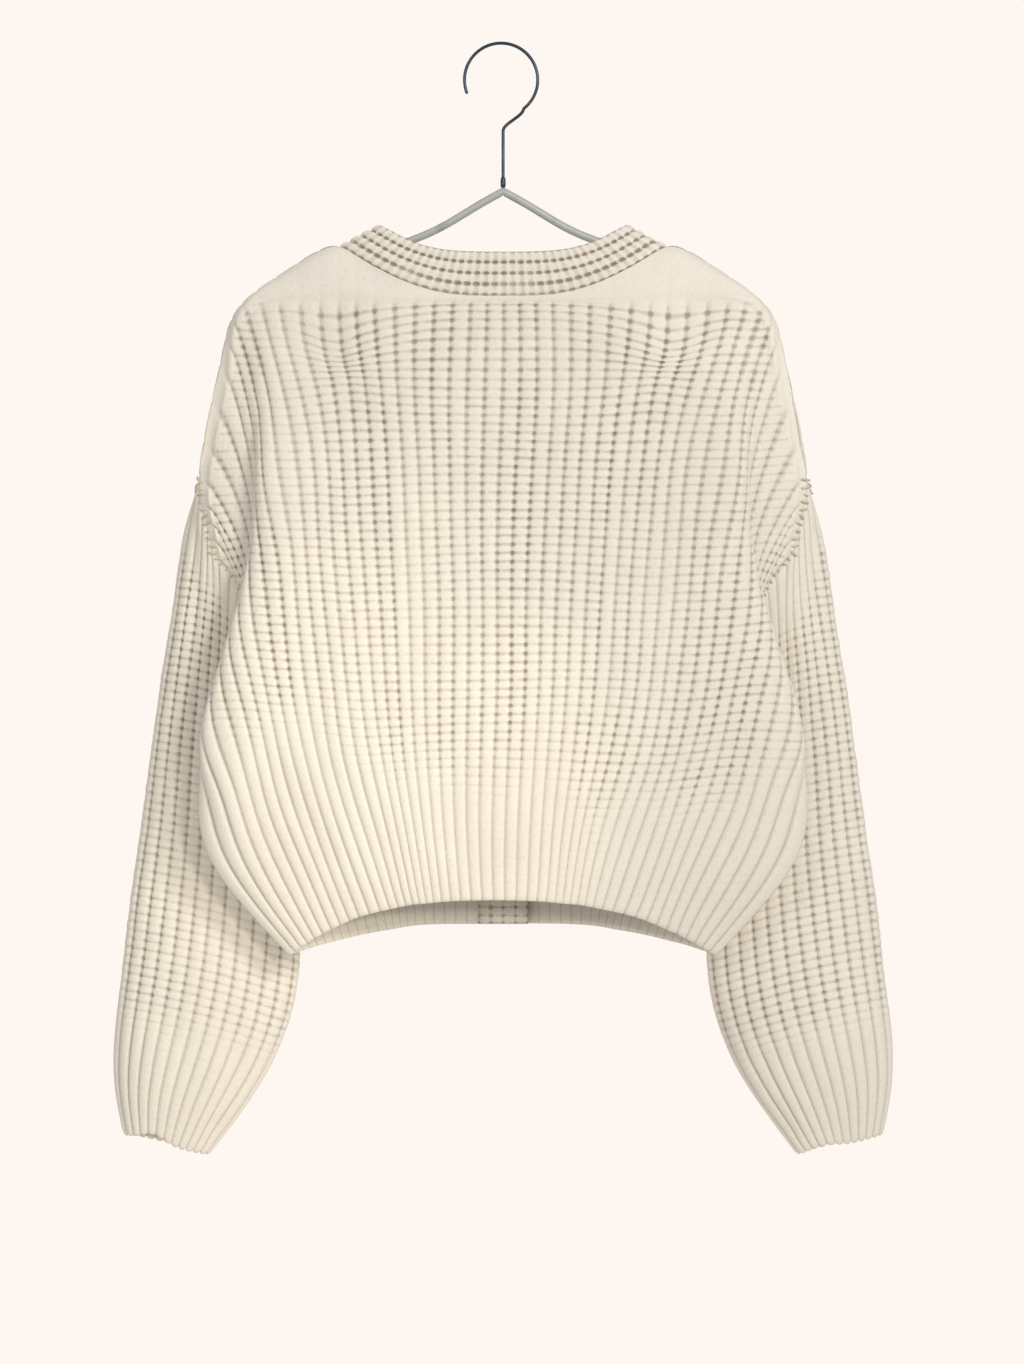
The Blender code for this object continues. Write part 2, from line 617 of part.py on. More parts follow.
def build_panels(collection, wool):
    """Back, fronts and sleeves. Returns what the band needs."""
    back_shape = back_drape()
    back_ribs, back_rise = rib_columns(-SIDE_RIB, SIDE_RIB)
    back_course = np.repeat(MESH_COURSES[:, None], len(back_ribs), axis=1)
    back_places = scooped(back_ribs, back_course)
    back_points = back_shape.points(back_places, back_course)
    back_normals = back_shape.normals(back_places, back_course)
    middle = len(back_ribs) // 2

    fronts = {}
    front_ribs, front_rise = rib_columns(FRONT_EDGE_RIB, SIDE_RIB)
    for side, lap in (("left", FRONT_LAP), ("right", -FRONT_LAP)):
        shape = front_drape(lap)
        starts = np.zeros(len(front_ribs))
        for j, rib in enumerate(front_ribs):
            if rib < NECK_RIB:
                starts[j] = neckline_course(shape, rib)
        share = MESH_COURSES[:, None] / COURSES[-1]
        course = starts[None, :] + (COURSES[-1] - starts[None, :]) * share
        front_places = scooped(front_ribs, course)
        fronts[side] = (shape.points(front_places, course), shape.normals(front_places, course))

    left_half = slice(middle, None)
    right_half = slice(middle, None, -1)
    back_sides = {
        "left": (back_points[:, left_half], back_normals[:, left_half]),
        "right": (mirrored(back_points[:, right_half]), mirrored(back_normals[:, right_half])),
    }
    half_ribs = back_ribs[left_half]
    neck = {}
    for side in ("left", "right"):
        back, back_n = [values.copy() for values in back_sides[side]]
        front, front_n = fronts[side]
        join_panels(back, back_n, front, front_n, half_ribs, front_ribs)
        sleeve, sleeve_n, rise = sleeve_sheet(back, back_n, front, front_n, half_ribs, front_ribs)
        ease_normals(back, back_n, SEAM_REACH)
        ease_normals(front, front_n, SEAM_REACH)
        neck[side] = {"back": back.copy(), "back_n": back_n.copy(),
                      "front": front.copy(), "front_n": front_n.copy(),
                      "half_ribs": half_ribs, "front_ribs": front_ribs}

        front_rises = panel_rises(front, front_rise, front_ribs, False)
        front_rises[0] *= SEAM_RISE
        front[0] = stand_back(front[0], front[1], SEAM_GAP)
        side_gap = np.full((len(front), 1), SEAM_GAP)
        side_gap[UNDERARM_ROW] = SIDE_TOP_GAP
        front[:, -1] = stand_back(front[:, -1], front[:, -2], side_gap)
        front_walls = np.full(front.shape[:2], WALL)
        front_walls[0] = SEAM_WALL
        front_walls[:, -1] = SEAM_WALL
        sleeve_walls = np.full(sleeve.shape[:2], WALL)
        sleeve_walls[0] = THIN_SEAM_WALL
        sleeve_walls[0, (-1, 0, 1)] = SLEEVE_TIP_WALL
        sign = 1 if side == "left" else -1
        flip = np.array([sign, 1, 1], float)
        front_inner = inner_columns(front_ribs, FINE_SIDE)
        add(cloth_wall("front_" + side, front * flip, front_n * flip, front_rises, front_walls,
                       front_inner), collection, wool)
        places, _ = sleeve_columns()
        sleeve_inner = inner_columns(places, FINE_SLEEVE)
        add(cloth_wall("sleeve_" + side, sleeve * flip, sleeve_n * flip, rise, sleeve_walls,
                       sleeve_inner, closed=True), collection, wool)
        if side == "left":
            back_points[:, left_half] = back
            back_normals[:, left_half] = back_n
        else:
            back_points[:, right_half] = mirrored(back)
            back_normals[:, right_half] = mirrored(back_n)

    back_rises = panel_rises(back_points, back_rise, back_ribs, True)
    back_points[0] = stand_back(back_points[0], back_points[1], SEAM_GAP)
    side_gap = np.full((len(back_points), 1), SEAM_GAP)
    side_gap[UNDERARM_ROW] = SIDE_TOP_GAP
    back_points[:, -1] = stand_back(back_points[:, -1], back_points[:, -2], side_gap)
    back_points[:, 0] = stand_back(back_points[:, 0], back_points[:, 1], side_gap)
    back_walls = np.full(back_points.shape[:2], WALL)
    back_walls[0] = SEAM_WALL
    back_walls[:, (0, -1)] = SEAM_WALL
    add(cloth_wall("back", back_points, back_normals, back_rises, back_walls,
                   inner_columns(back_ribs, FINE_SIDE)), collection, wool)
    return neck


def band_half(sides, side):
    """Stations of one half of the band, from the front hem to the centre of the back neck."""
    sign = 1 if side == "left" else -1
    flip = np.array([sign, 1, 1], float)
    edge = []
    free = []
    normal = []
    front = sides["front"]
    front_n = sides["front_n"]
    front_ribs = sides["front_ribs"]
    half_ribs = sides["half_ribs"]
    for i in range(len(MESH_COURSES) - 1, 0, -1):
        edge.append(front[i, 0])
        normal.append(front_n[i, 0])
        free.append(front[i, 0] + np.array([-BAND_WIDTH, 0.0, 0.0]))
    neckline = [k for k, rib in enumerate(front_ribs)
                if rib < NECK_RIB - 0.1 and (k % 3 == 0 or rib > NECK_RIB - 1.2)]
    for k in neckline:
        rib = front_ribs[k]
        turn = smooth_step((rib - FRONT_EDGE_RIB) / 1.5)
        shift = np.array([-BAND_WIDTH, 0.0, 0.0]) * (1 - turn) + np.array(NECKLINE_SHIFT, float) * turn
        edge.append(front[0, k])
        normal.append(front_n[0, k])
        free.append(front[0, k] + shift)
    names = sorted(BACK_NECK_FREE)
    table = np.array([BACK_NECK_FREE[rib] for rib in names], float)
    back = sides["back"]
    back_n = sides["back_n"]
    for j in range(len(half_ribs) - 1, -1, -1):
        rib = half_ribs[j]
        if rib > NECK_RIB + 1e-6 or (j % 3 and rib > 0.5 and rib < NECK_RIB - 1.2):
            continue
        edge.append(back[0, j])
        normal.append(back_n[0, j])
        free.append(natural_spline(names, table, np.array([rib]))[0])
    return np.array(edge) * flip, np.array(free) * flip, np.array(normal) * flip


def build_band(collection, neck, wool):
    """The long four-rib strip: left front edge, neck, right front edge."""
    left = band_half(neck["left"], "left")
    right = band_half(neck["right"], "right")
    edge, free, normal = [np.concatenate([a, b[-2::-1]]) for a, b in zip(left, right)]
    places, rises = rib_columns(0, BAND_RIBS)
    share = places / BAND_RIBS
    grid = edge[:, None] * (1 - share[None, :, None]) + free[:, None] * share[None, :, None]
    along = np.gradient(grid, axis=0)
    across = np.gradient(grid, axis=1)
    normals = unit(np.cross(along, across))
    if normals[0, 6, 1] > 0:
        normals = -normals
    normals[:, 0] = normal
    for _ in range(2):
        middle = normals.copy()
        middle[1:-1] = normals[:-2] + 2 * normals[1:-1] + normals[2:]
        normals[:, 1:] = unit(middle)[:, 1:]
    rise = np.repeat(rises[None, :] * RIB_RISE, len(grid), axis=0)
    grid[:, 0] += unit(grid[:, 1] - grid[:, 0]) * BAND_GAP
    walls = np.full(grid.shape[:2], WALL)
    walls[:, 0] = THIN_SEAM_WALL
    add(cloth_wall("band", grid, normals, rise, walls, inner_columns(places, ())), collection, wool)
    return grid, normals


def build_buttons(collection, grid, normals, horn):
    """Flat round buttons on the upper band, square to the cloth."""
    half = len(grid) // 2
    column = 6
    line = grid[half:, column][::-1]
    heights = line[:, 2]
    order = np.argsort(heights)
    for number, height in enumerate(BUTTON_HEIGHTS, start=1):
        depth = np.interp(height, heights[order], line[order, 1])
        above = np.interp(height + BUTTON_RADIUS, heights[order], line[order, 1])
        below = np.interp(height - BUTTON_RADIUS, heights[order], line[order, 1])
        tilt = math.atan2(above - below, 2 * BUTTON_RADIUS)
        lift = max(abs(above + below - 2 * depth), 0.0) + RIB_RISE + BUTTON_GAP + BUTTON_THICK / 2
        bpy.ops.mesh.primitive_cylinder_add(vertices=BUTTON_SIDES, radius=BUTTON_RADIUS * MM,
                                            depth=BUTTON_THICK * MM)
        button = bpy.context.object
        button.name = "button_%d" % number
        button.rotation_euler = (math.pi / 2 - tilt, 0.0, 0.0)
        button.location = (0.0, (depth - lift * math.cos(tilt)) * MM, (height + lift * math.sin(tilt)) * MM)
        rim = button.modifiers.new("rim", "BEVEL")
        rim.width = BUTTON_RIM * MM
        rim.segments = 1
        rim.limit_method = "ANGLE"
        for owner in list(button.users_collection):
            owner.objects.unlink(button)
        add(button, collection, horn)


def wire(name, route, radius, sides):
    curve = bpy.data.curves.new(name, "CURVE")
    curve.dimensions = "3D"
    curve.bevel_depth = radius * MM
    curve.bevel_resolution = sides
    curve.use_fill_caps = True
    spline = curve.splines.new("POLY")
    spline.points.add(len(route) - 1)
    for point, place in zip(spline.points, route):
        point.co = (*(np.array(place, float) * MM), 1.0)
    return bpy.data.objects.new(name, curve)


def build_hanger(collection, pale, dark):
    left = [(x, 0.0, z) for x, z in ARM_ROUTE]
    right = [(-x, 0.0, z) for x, z in ARM_ROUTE[:0:-1]]
    add(wire("hanger_bar", right + left, ARM_RADIUS, 2), collection, pale)
    centre_z = HOOK_WIRE - HOOK_RADIUS
    turns = np.radians(np.linspace(HOOK_TIP_ANGLE, HOOK_FOOT_ANGLE, 18))
    arc = [(HOOK_SIDE + HOOK_RADIUS * math.cos(a), 0.0, centre_z + HOOK_RADIUS * math.sin(a)) for a in turns]
    foot = arc[-1]
    bend = []
    for share in (0.3, 0.6, 0.85):
        ease = smooth_step(np.array(share))
        bend.append((foot[0] * (1 - ease), 0.0, foot[2] + (HOOK_STEM_TOP - foot[2]) * share))
    apex = ARM_ROUTE[0][1] + HOOK_SEAT
    stem = [(0.0, 0.0, HOOK_STEM_TOP), (0.0, 0.0, HOOK_STEM_TOP - 18), (0.0, 0.0, apex)]
    add(wire("hanger_hook", arc + bend + stem, HOOK_WIRE, 2), collection, dark)


def main():
    for item in list(bpy.data.objects):
        bpy.data.objects.remove(item, do_unlink=True)
    collection = bpy.data.collections.new("chunky_knit_cardigan")
    bpy.context.scene.collection.children.link(collection)
    wool = material("wool", WOOL)
    band_wool = material("wool_band", WOOL_BAND)
    horn = material("horn", HORN)
    pale = material("pale_metal", PALE_METAL)
    dark = material("dark_wire", DARK_WIRE)
    neck = build_panels(collection, wool)
    grid, normals = build_band(collection, neck, band_wool)
    build_buttons(collection, grid, normals, horn)
    build_hanger(collection, pale, dark)


main()
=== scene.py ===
# %% [markdown]
# # A chunky fisherman's-rib cardigan on a slim hanger
#
# The cardigan hangs with its back to the camera. It is six knitted pieces: a back, two fronts, two
# sleeves and one long band, with five horn buttons on the front and a plain wire hanger inside.
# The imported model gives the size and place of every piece. This script remakes each one at the
# fineness of its stitches, and gives it a finish made of shader nodes.

import math

import bmesh
import bpy
import numpy as np
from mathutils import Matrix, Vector


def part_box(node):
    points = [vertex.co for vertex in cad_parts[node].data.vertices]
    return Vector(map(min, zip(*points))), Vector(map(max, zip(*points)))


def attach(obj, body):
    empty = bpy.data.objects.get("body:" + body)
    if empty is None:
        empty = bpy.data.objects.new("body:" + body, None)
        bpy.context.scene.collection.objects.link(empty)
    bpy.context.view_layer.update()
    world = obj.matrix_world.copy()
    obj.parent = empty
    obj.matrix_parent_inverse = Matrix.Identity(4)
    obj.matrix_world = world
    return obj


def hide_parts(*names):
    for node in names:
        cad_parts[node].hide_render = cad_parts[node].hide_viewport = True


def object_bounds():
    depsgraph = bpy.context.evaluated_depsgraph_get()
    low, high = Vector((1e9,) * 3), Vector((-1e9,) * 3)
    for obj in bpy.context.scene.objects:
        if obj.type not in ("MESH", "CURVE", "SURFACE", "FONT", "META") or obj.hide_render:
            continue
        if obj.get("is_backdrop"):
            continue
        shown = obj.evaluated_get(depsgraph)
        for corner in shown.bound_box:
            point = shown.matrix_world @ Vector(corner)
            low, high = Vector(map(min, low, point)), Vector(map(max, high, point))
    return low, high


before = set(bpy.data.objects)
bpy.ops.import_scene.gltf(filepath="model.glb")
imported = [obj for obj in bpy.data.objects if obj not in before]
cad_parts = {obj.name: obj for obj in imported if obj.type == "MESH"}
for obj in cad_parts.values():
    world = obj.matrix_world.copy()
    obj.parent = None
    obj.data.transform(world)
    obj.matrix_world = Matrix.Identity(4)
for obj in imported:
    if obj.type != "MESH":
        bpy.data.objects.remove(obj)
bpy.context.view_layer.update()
print("frame nodes:", ", ".join(sorted(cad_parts)))

MM = 0.001

# %% [markdown]
# ## Camera
#
# The back is seen square on, with hardly any perspective, so the camera stands 3.6 m away with a
# long lens. One pixel of the 1024 by 1364 image is 0.86 mm at the plane of the hanger. A nearer
# camera would show more of the sleeves' sides than the photo does.

# %% Place the camera
MM_PER_PIXEL = 0.86
IMAGE_HEIGHT = 1364
CAMERA_AWAY = 3.6
SENSOR = 36.0
CAMERA_ACROSS = -0.0077
CAMERA_HEIGHT = -0.548

camera_data = bpy.data.cameras.new("camera")
camera_data.sensor_width = SENSOR
camera_data.lens = SENSOR * CAMERA_AWAY / (IMAGE_HEIGHT * MM_PER_PIXEL * MM)
camera = bpy.data.objects.new("camera", camera_data)
bpy.context.scene.collection.objects.link(camera)
camera.location = (CAMERA_ACROSS, CAMERA_AWAY, CAMERA_HEIGHT)
camera.rotation_euler = (math.pi / 2, 0.0, math.pi)
bpy.context.scene.camera = camera
print("lens: %.1f mm" % camera_data.lens)

# %% [markdown]
# ## Light and surroundings
#
# The light is that of a pale studio. An even world does half of it. A big soft lamp from the right
# gives the ribs their relief and lets the bulging back shade the left sleeve, a weak one from the
# left fills in, and a third lights the button side. A narrow warm lamp gives the glow low on the
# left of the back.

# %% World and lamps
PAPER = (0.991, 0.930, 0.879)
WORLD_LIGHT = 0.52

scene = bpy.context.scene
scene.view_settings.view_transform = "Standard"
world = bpy.data.worlds.new("pale_studio")
scene.world = world
world.use_nodes = True
tree = world.node_tree
tree.nodes.clear()
seen = tree.nodes.new("ShaderNodeBackground")
seen.inputs["Color"].default_value = (*PAPER, 1.0)
lit = tree.nodes.new("ShaderNodeBackground")
lit.inputs["Color"].default_value = (1.0, 0.97, 0.94, 1.0)
lit.inputs["Strength"].default_value = WORLD_LIGHT
ray = tree.nodes.new("ShaderNodeLightPath")
choice = tree.nodes.new("ShaderNodeMixShader")
sky = tree.nodes.new("ShaderNodeOutputWorld")
tree.links.new(ray.outputs["Is Camera Ray"], choice.inputs["Fac"])
tree.links.new(lit.outputs["Background"], choice.inputs[1])
tree.links.new(seen.outputs["Background"], choice.inputs[2])
tree.links.new(choice.outputs["Shader"], sky.inputs["Surface"])


def lamp(name, kind, place, aim, watts, colour):
    data = bpy.data.lights.new(name, kind)
    data.energy = watts
    data.color = colour
    body = bpy.data.objects.new(name, data)
    body.location = place
    body.rotation_euler = (Vector(aim) - Vector(place)).to_track_quat("-Z", "Y").to_euler()
    scene.collection.objects.link(body)
    return data


for name, place, aim, watts, size, colour in (
        ("key_lamp", (-1.5, 2.3, 0.7), (0, 0, -0.5), 37, 0.7, (1.0, 0.98, 0.94)),
        ("fill_lamp", (1.5, 2.8, 0.4), (0, 0, -0.4), 10, 1.2, (1.0, 0.98, 0.94)),
        ("front_lamp", (0.8, -2.6, 0.6), (0, 0, -0.5), 30, 1.3, (1.0, 0.98, 0.95))):
    lamp(name, "AREA", place, aim, watts, colour).size = size
glow = lamp("warm_lamp", "SPOT", (-0.5, 1.6, -0.42), (0.19, 0.04, -0.66), 34, (1.0, 0.93, 0.76))
glow.spot_size = math.radians(25)
glow.spot_blend = 1.0
glow.shadow_soft_size = 0.12
print("lamps:", [data.name for data in bpy.data.lights])

# %% [markdown]
# ## Small tools for shader nodes
#
# Every finish here is built from nodes, so a few short helpers save a lot of typing. One makes a
# node group with named sockets, one does arithmetic, and one turns a range of values into a mask.

# %% Node helpers
def new_group(name, inputs, outputs):
    """A node group with named number sockets. Returns the group, its input node and output node."""
    group = bpy.data.node_groups.new(name, "ShaderNodeTree")
    for title, value in inputs.items():
        socket = group.interface.new_socket(name=title, in_out="INPUT",
                                            socket_type="NodeSocketFloat")
        socket.default_value = value
    for title in outputs:
        group.interface.new_socket(name=title, in_out="OUTPUT", socket_type="NodeSocketFloat")
    return group, group.nodes.new("NodeGroupInput"), group.nodes.new("NodeGroupOutput")


def put_out(group, end, values):
    """Link each value to the group's output of that name."""
    for title, value in values.items():
        group.links.new(value, end.inputs[title])
    print("group:", group.name, "with", len(group.nodes), "nodes")


def feed(tree, socket, value):
    """Link an output to a socket, or set a plain value on it."""
    if isinstance(value, bpy.types.NodeSocket):
        tree.links.new(value, socket)
    else:
        socket.default_value = value


def calc(tree, operation, first, second=0.0):
    node = tree.nodes.new("ShaderNodeMath")
    node.operation = operation
    feed(tree, node.inputs[0], first)
    feed(tree, node.inputs[1], second)
    return node.outputs[0]


def product(tree, *factors):
    """All the factors multiplied."""
    total = factors[0]
    for factor in factors[1:]:
        total = calc(tree, "MULTIPLY", total, factor)
    return total


def mask_between(tree, value, low, high, at_low=1.0, at_high=0.0):
    """A soft mask: at_low up to `low`, at_high from `high` on."""
    node = tree.nodes.new("ShaderNodeMapRange")
    node.interpolation_type = "SMOOTHSTEP"
    for title, number in (("Value", value), ("From Min", low), ("From Max", high),
                          ("To Min", at_low), ("To Max", at_high)):
        feed(tree, node.inputs[title], number)
    return node.outputs[0]


def mix_colour(tree, share, first, second):
    """Two colours mixed. Each is a link or three numbers."""
    node = tree.nodes.new("ShaderNodeMix")
    node.data_type = "RGBA"
    feed(tree, node.inputs[0], share)
    for socket, colour in ((node.inputs[6], first), (node.inputs[7], second)):
        feed(tree, socket, colour if isinstance(colour, bpy.types.NodeSocket) else (*colour, 1.0))
    return node.outputs[2]


def noise(tree, place, scale, detail=3.0, roughness=0.55):
    node = tree.nodes.new("ShaderNodeTexNoise")
    feed(tree, node.inputs["Vector"], place)
    feed(tree, node.inputs["Scale"], scale)
    node.inputs["Detail"].default_value = detail
    node.inputs["Roughness"].default_value = roughness
    return node.outputs["Fac"]


# %% [markdown]
# ## Shared effect 1: the dips between stitches
#
# In a fisherman's rib, the yarn dips between two ribs, and between one row of stitches and the
# next. Where both dips meet there is a small dark hole. Each mesh below carries a map called
# "knit": its first number counts ribs and its second counts rows, so a whole number is always a
# dip. The group turns that into three masks. It adds slow patches where the holes are more or less
# open, and quick breaks where the line between two rows fades. It is used by the wool of the panels
# and of the band, which paints shade into the dips and holes from these masks and also sinks them
# with a bump.

# %% Group: stitch dip masks
stitch_dip_masks, start, end = new_group(
    "Stitch dip masks", {"Groove Width": 0.16, "Row Width": 0.24, "Hole Width": 0.2, "Waviness": 0.06},
    ("Groove", "Row", "Hole", "Patches", "Breaks"))
knit_map = stitch_dip_masks.nodes.new("ShaderNodeUVMap")
knit_map.uv_map = "knit"
knit_at = knit_map.outputs["UV"]
split = stitch_dip_masks.nodes.new("ShaderNodeSeparateXYZ")
stitch_dip_masks.links.new(knit_at, split.inputs[0])
wobble = calc(stitch_dip_masks, "SUBTRACT", noise(stitch_dip_masks, knit_at, 1.7, 2.0), 0.5)
wobble = product(stitch_dip_masks, wobble, start.outputs["Waviness"])
dips = []
for axis in ("X", "Y"):
    count = calc(stitch_dip_masks, "ADD", split.outputs[axis], wobble)
    centred = calc(stitch_dip_masks, "SUBTRACT", calc(stitch_dip_masks, "FRACT", count), 0.5)
    dips.append(calc(stitch_dip_masks, "SUBTRACT", 0.5, calc(stitch_dip_masks, "ABSOLUTE", centred)))
groove = mask_between(stitch_dip_masks, dips[0], 0.0, start.outputs["Groove Width"])
row = mask_between(stitch_dip_masks, dips[1], 0.0, start.outputs["Row Width"])
squares = [calc(stitch_dip_masks, "POWER", away, 2.0) for away in (dips[0], product(stitch_dip_masks, dips[1], 0.62))]
reach = calc(stitch_dip_masks, "SQRT", calc(stitch_dip_masks, "ADD", *squares))
hole = mask_between(stitch_dip_masks, reach, 0.06, start.outputs["Hole Width"])
put_out(stitch_dip_masks, end, {"Groove": groove, "Row": row, "Hole": hole,
                     "Patches": noise(stitch_dip_masks, knit_at, 0.16, 2.0),
                     "Breaks": noise(stitch_dip_masks, knit_at, 1.1, 1.0)})

# %% [markdown]
# ## Shared effect 2: spun wool
#
# Close up, the yarn is thick and softly spun, with loose fibres on its surface and a tone that is
# never quite even. Fine noise stretched along the ribs gives the fibres, finer noise the nap, and
# slow noise the tone. All the knit and the sewing yarn use it, each at its own scale.

# %% Group: spun wool
spun, start, end = new_group("Spun wool", {"Fibre Scale": 900.0, "Tone Scale": 9.0},
                             ("Fibres", "Nap", "Tone"))
place = spun.nodes.new("ShaderNodeTexCoord").outputs["Object"]
along_ribs = spun.nodes.new("ShaderNodeMapping")
along_ribs.inputs["Scale"].default_value = (1.0, 1.0, 0.3)
spun.links.new(place, along_ribs.inputs["Vector"])
put_out(spun, end, {
    "Fibres": noise(spun, along_ribs.outputs["Vector"], start.outputs["Fibre Scale"], 4.0, 0.5),
    "Nap": noise(spun, place, 2600.0, 2.0),
    "Tone": noise(spun, place, start.outputs["Tone Scale"], 3.0, 0.5)})

# %% [markdown]
# ## The wool itself
#
# The cream of the photo is warm on the crests, and two creams mix at random for the yarn's tone.
# The brown-grey in the dips is painted shade: the groups give masks for the grooves, the row lines
# and the holes, and the material darkens them toward one dip colour, which the yarn's random fibre
# flecks share. Its sheen is that of a soft napped yarn: faint, wide and pale. Three numbers are
# stored on each mesh. "stitched" is 1 where rows of stitches show, and near 0 on the smooth ribs
# near hem and cuffs. "ribbed" is 1 where ribs stand up, and near 0 on the plain yoke; it also sets
# how much painted shade the grooves get. "opened" is 1 where the knit is pulled open, so that its
# holes, and the painted shade in them, are wider.

# %% Helpers for materials
def new_finish(name, settings):
    """A material. `settings` are the constant sockets of its shader."""
    finish = bpy.data.materials.new(name)
    finish.use_nodes = True
    shader = finish.node_tree.nodes["Principled BSDF"]
    for title, value in settings.items():
        shader.inputs[title].default_value = value
    return finish, finish.node_tree, shader


def stored(tree, title):
    """A number that is stored on the mesh."""
    node = tree.nodes.new("ShaderNodeAttribute")
    node.attribute_name = title
    return node.outputs["Fac"]


def place_group(tree, group, values):
    node = tree.nodes.new("ShaderNodeGroup")
    node.node_tree = group
    for title, value in values.items():
        feed(tree, node.inputs[title], value)
    return node.outputs


def bump(tree, height, distance, strength, normal=None):
    node = tree.nodes.new("ShaderNodeBump")
    node.inputs["Strength"].default_value = strength
    node.inputs["Distance"].default_value = distance
    tree.links.new(height, node.inputs["Height"])
    if normal is not None:
        tree.links.new(normal, node.inputs["Normal"])
    return node.outputs["Normal"]


# %% Wool materials
WOOL_SHADER = {"Sheen Weight": 0.3, "Sheen Roughness": 0.55, "Sheen Tint": (1.0, 0.95, 0.86, 1.0),
               "Specular IOR Level": 0.25}
OPENED_WIDER = 0.14
# Strength of the painted shade in the grooves between ribs.
GROOVE_SHADE_STRENGTH = 0.5
FLECK_STRENGTH = 0.12


def wool_material(name, row_strength, hole_strength, hole_width):
    finish, tree, shader = new_finish(name, WOOL_SHADER)
    stitched = stored(tree, "stitched")
    width = mask_between(tree, stored(tree, "opened"), 0.0, 1.0,
                         hole_width, hole_width + OPENED_WIDER)
    knit = place_group(tree, stitch_dip_masks, {"Hole Width": width})
    yarn = place_group(tree, spun, {})
    colour = mix_colour(tree, mask_between(tree, yarn["Tone"], 0.35, 0.65), CREST, CREST_WARM)
    # Painted shade: row lines, holes and grooves are darkened toward the dip colour. Rows and holes
    # also sink the bump.
    broken = mask_between(tree, knit["Breaks"], 0.35, 0.6, 0.3, 1.15)
    rows = product(tree, knit["Row"], stitched, row_strength, broken)
    patchy = mask_between(tree, knit["Patches"], 0.3, 0.52, 0.7, 1.25)
    holes = product(tree, knit["Hole"], stitched, hole_strength, patchy)
    # The grooves' painted shade is weaker along a rib and stronger where it meets a row line.
    closed = mask_between(tree, product(tree, stitched, knit["Row"]), 0.0, 0.6, 0.55, 1.1)
    painted_groove_shade = product(tree, knit["Groove"], stored(tree, "ribbed"), GROOVE_SHADE_STRENGTH, closed)
    dark = calc(tree, "MAXIMUM", calc(tree, "MAXIMUM", rows, holes), painted_groove_shade)
    # Random darker fibre flecks, the yarn's own tone, are mixed toward the same colour.
    flecks = product(tree, mask_between(tree, yarn["Fibres"], 0.3, 0.5), FLECK_STRENGTH)
    dark = calc(tree, "MINIMUM", calc(tree, "ADD", dark, flecks), 1.0)
    tree.links.new(mix_colour(tree, dark, colour, PAINTED_SHADE_AND_FLECKS), shader.inputs["Base Color"])
    rough = mask_between(tree, yarn["Fibres"], 0.2, 0.8, 0.84, 0.98)
    tree.links.new(rough, shader.inputs["Roughness"])
    sunken = product(tree, calc(tree, "ADD", rows, holes), -1.0)
    cushion = bump(tree, sunken, 0.0016, 0.8)
    fuzz = calc(tree, "ADD", yarn["Fibres"], product(tree, yarn["Nap"], 0.5))
    tree.links.new(bump(tree, fuzz, 0.0006, 0.5, cushion), shader.inputs["Normal"])
    return finish


CREST = (0.86, 0.81, 0.725)
CREST_WARM = (0.90, 0.85, 0.75)
# Painted shade colour of the grooves, row lines and holes, shared by the fibre flecks.
PAINTED_SHADE_AND_FLECKS = (0.30, 0.225, 0.13)
wool = wool_material("wool", 0.3, 0.56, 0.22)
wool_band = wool_material("wool_band", 0.26, 0.7, 0.2)
print("materials:", wool.name, wool_band.name)

# %% [markdown]
# ## Smooth curves through a few measured points
#
# The garment's form comes from short tables: where a few guide ribs lie at a few rows. A natural
# cubic spline fills in the rest, across the ribs and down the rows. It is the same curve as in the
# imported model, so the fine pieces lie where its plain ones do.

# %% Curves and directions
def natural_spline(knots, values, at):
    """Smooth curve through values at the knots, read at the places in `at`."""
    knots = np.asarray(knots, float)
    values = np.asarray(values, float)
    count = len(knots)
    shape = values.shape[1:]
    values = values.reshape(count, -1)
    step = np.diff(knots)
    system = np.eye(count)
    right = np.zeros(values.shape)
    for i in range(1, count - 1):
        system[i, i - 1:i + 2] = step[i - 1], 2 * (step[i - 1] + step[i]), step[i]
        rise_after = (values[i + 1] - values[i]) / step[i]
        rise_before = (values[i] - values[i - 1]) / step[i - 1]
        right[i] = 6 * (rise_after - rise_before)
    bend = np.linalg.solve(system, right)
    at = np.asarray(at, float)
    cell = np.clip(np.searchsorted(knots, at, side="right") - 1, 0, count - 2)
    width = step[cell][:, None]
    low = (knots[cell + 1] - at)[:, None] / width
    high = 1 - low
    in_low, in_high = np.clip(low, 0, 1), np.clip(high, 0, 1)
    curve = (in_low ** 3 - in_low) * bend[cell] + (in_high ** 3 - in_high) * bend[cell + 1]
    result = low * values[cell] + high * values[cell + 1] + curve * width ** 2 / 6
    return result.reshape((len(at),) + shape)


def spline_weights(knots, at):
    """How much the value at each knot counts at the places `at`."""
    flat = natural_spline(knots, np.eye(len(knots)), np.ravel(at))
    return flat.reshape(np.shape(at) + (len(knots),))


def unit(vectors):
    length = np.linalg.norm(vectors, axis=-1, keepdims=True)
    return vectors / np.maximum(length, 1e-9)


def smooth_step(value):
    value = np.clip(value, 0.0, 1.0)
    return value * value * (3 - 2 * value)


def cumulative(steps):
    """Running length from 0 along steps."""
    return np.concatenate([[0.0], np.cumsum(steps)])


SIGN = {"left": 1.0, "right": -1.0}


def to_side(points, side):
    """Points worked out for the wearer's left, moved to the side asked for."""
    return points * np.array([SIGN[side], 1.0, 1.0])


# %% [markdown]
# ## The tables of the body
#
# "Rib" counts the knitted ribs out from the middle of the back, 24 to each side seam. "Course" runs
# down the cloth: 0 is the top edge, 0.4 the line where the ribs start, and 8.4 the hem. The tables
# hold the height, the distance from the middle, and the depth of each guide rib. All are in
# millimetres. +X is the wearer's left, +Y the back and +Z up.

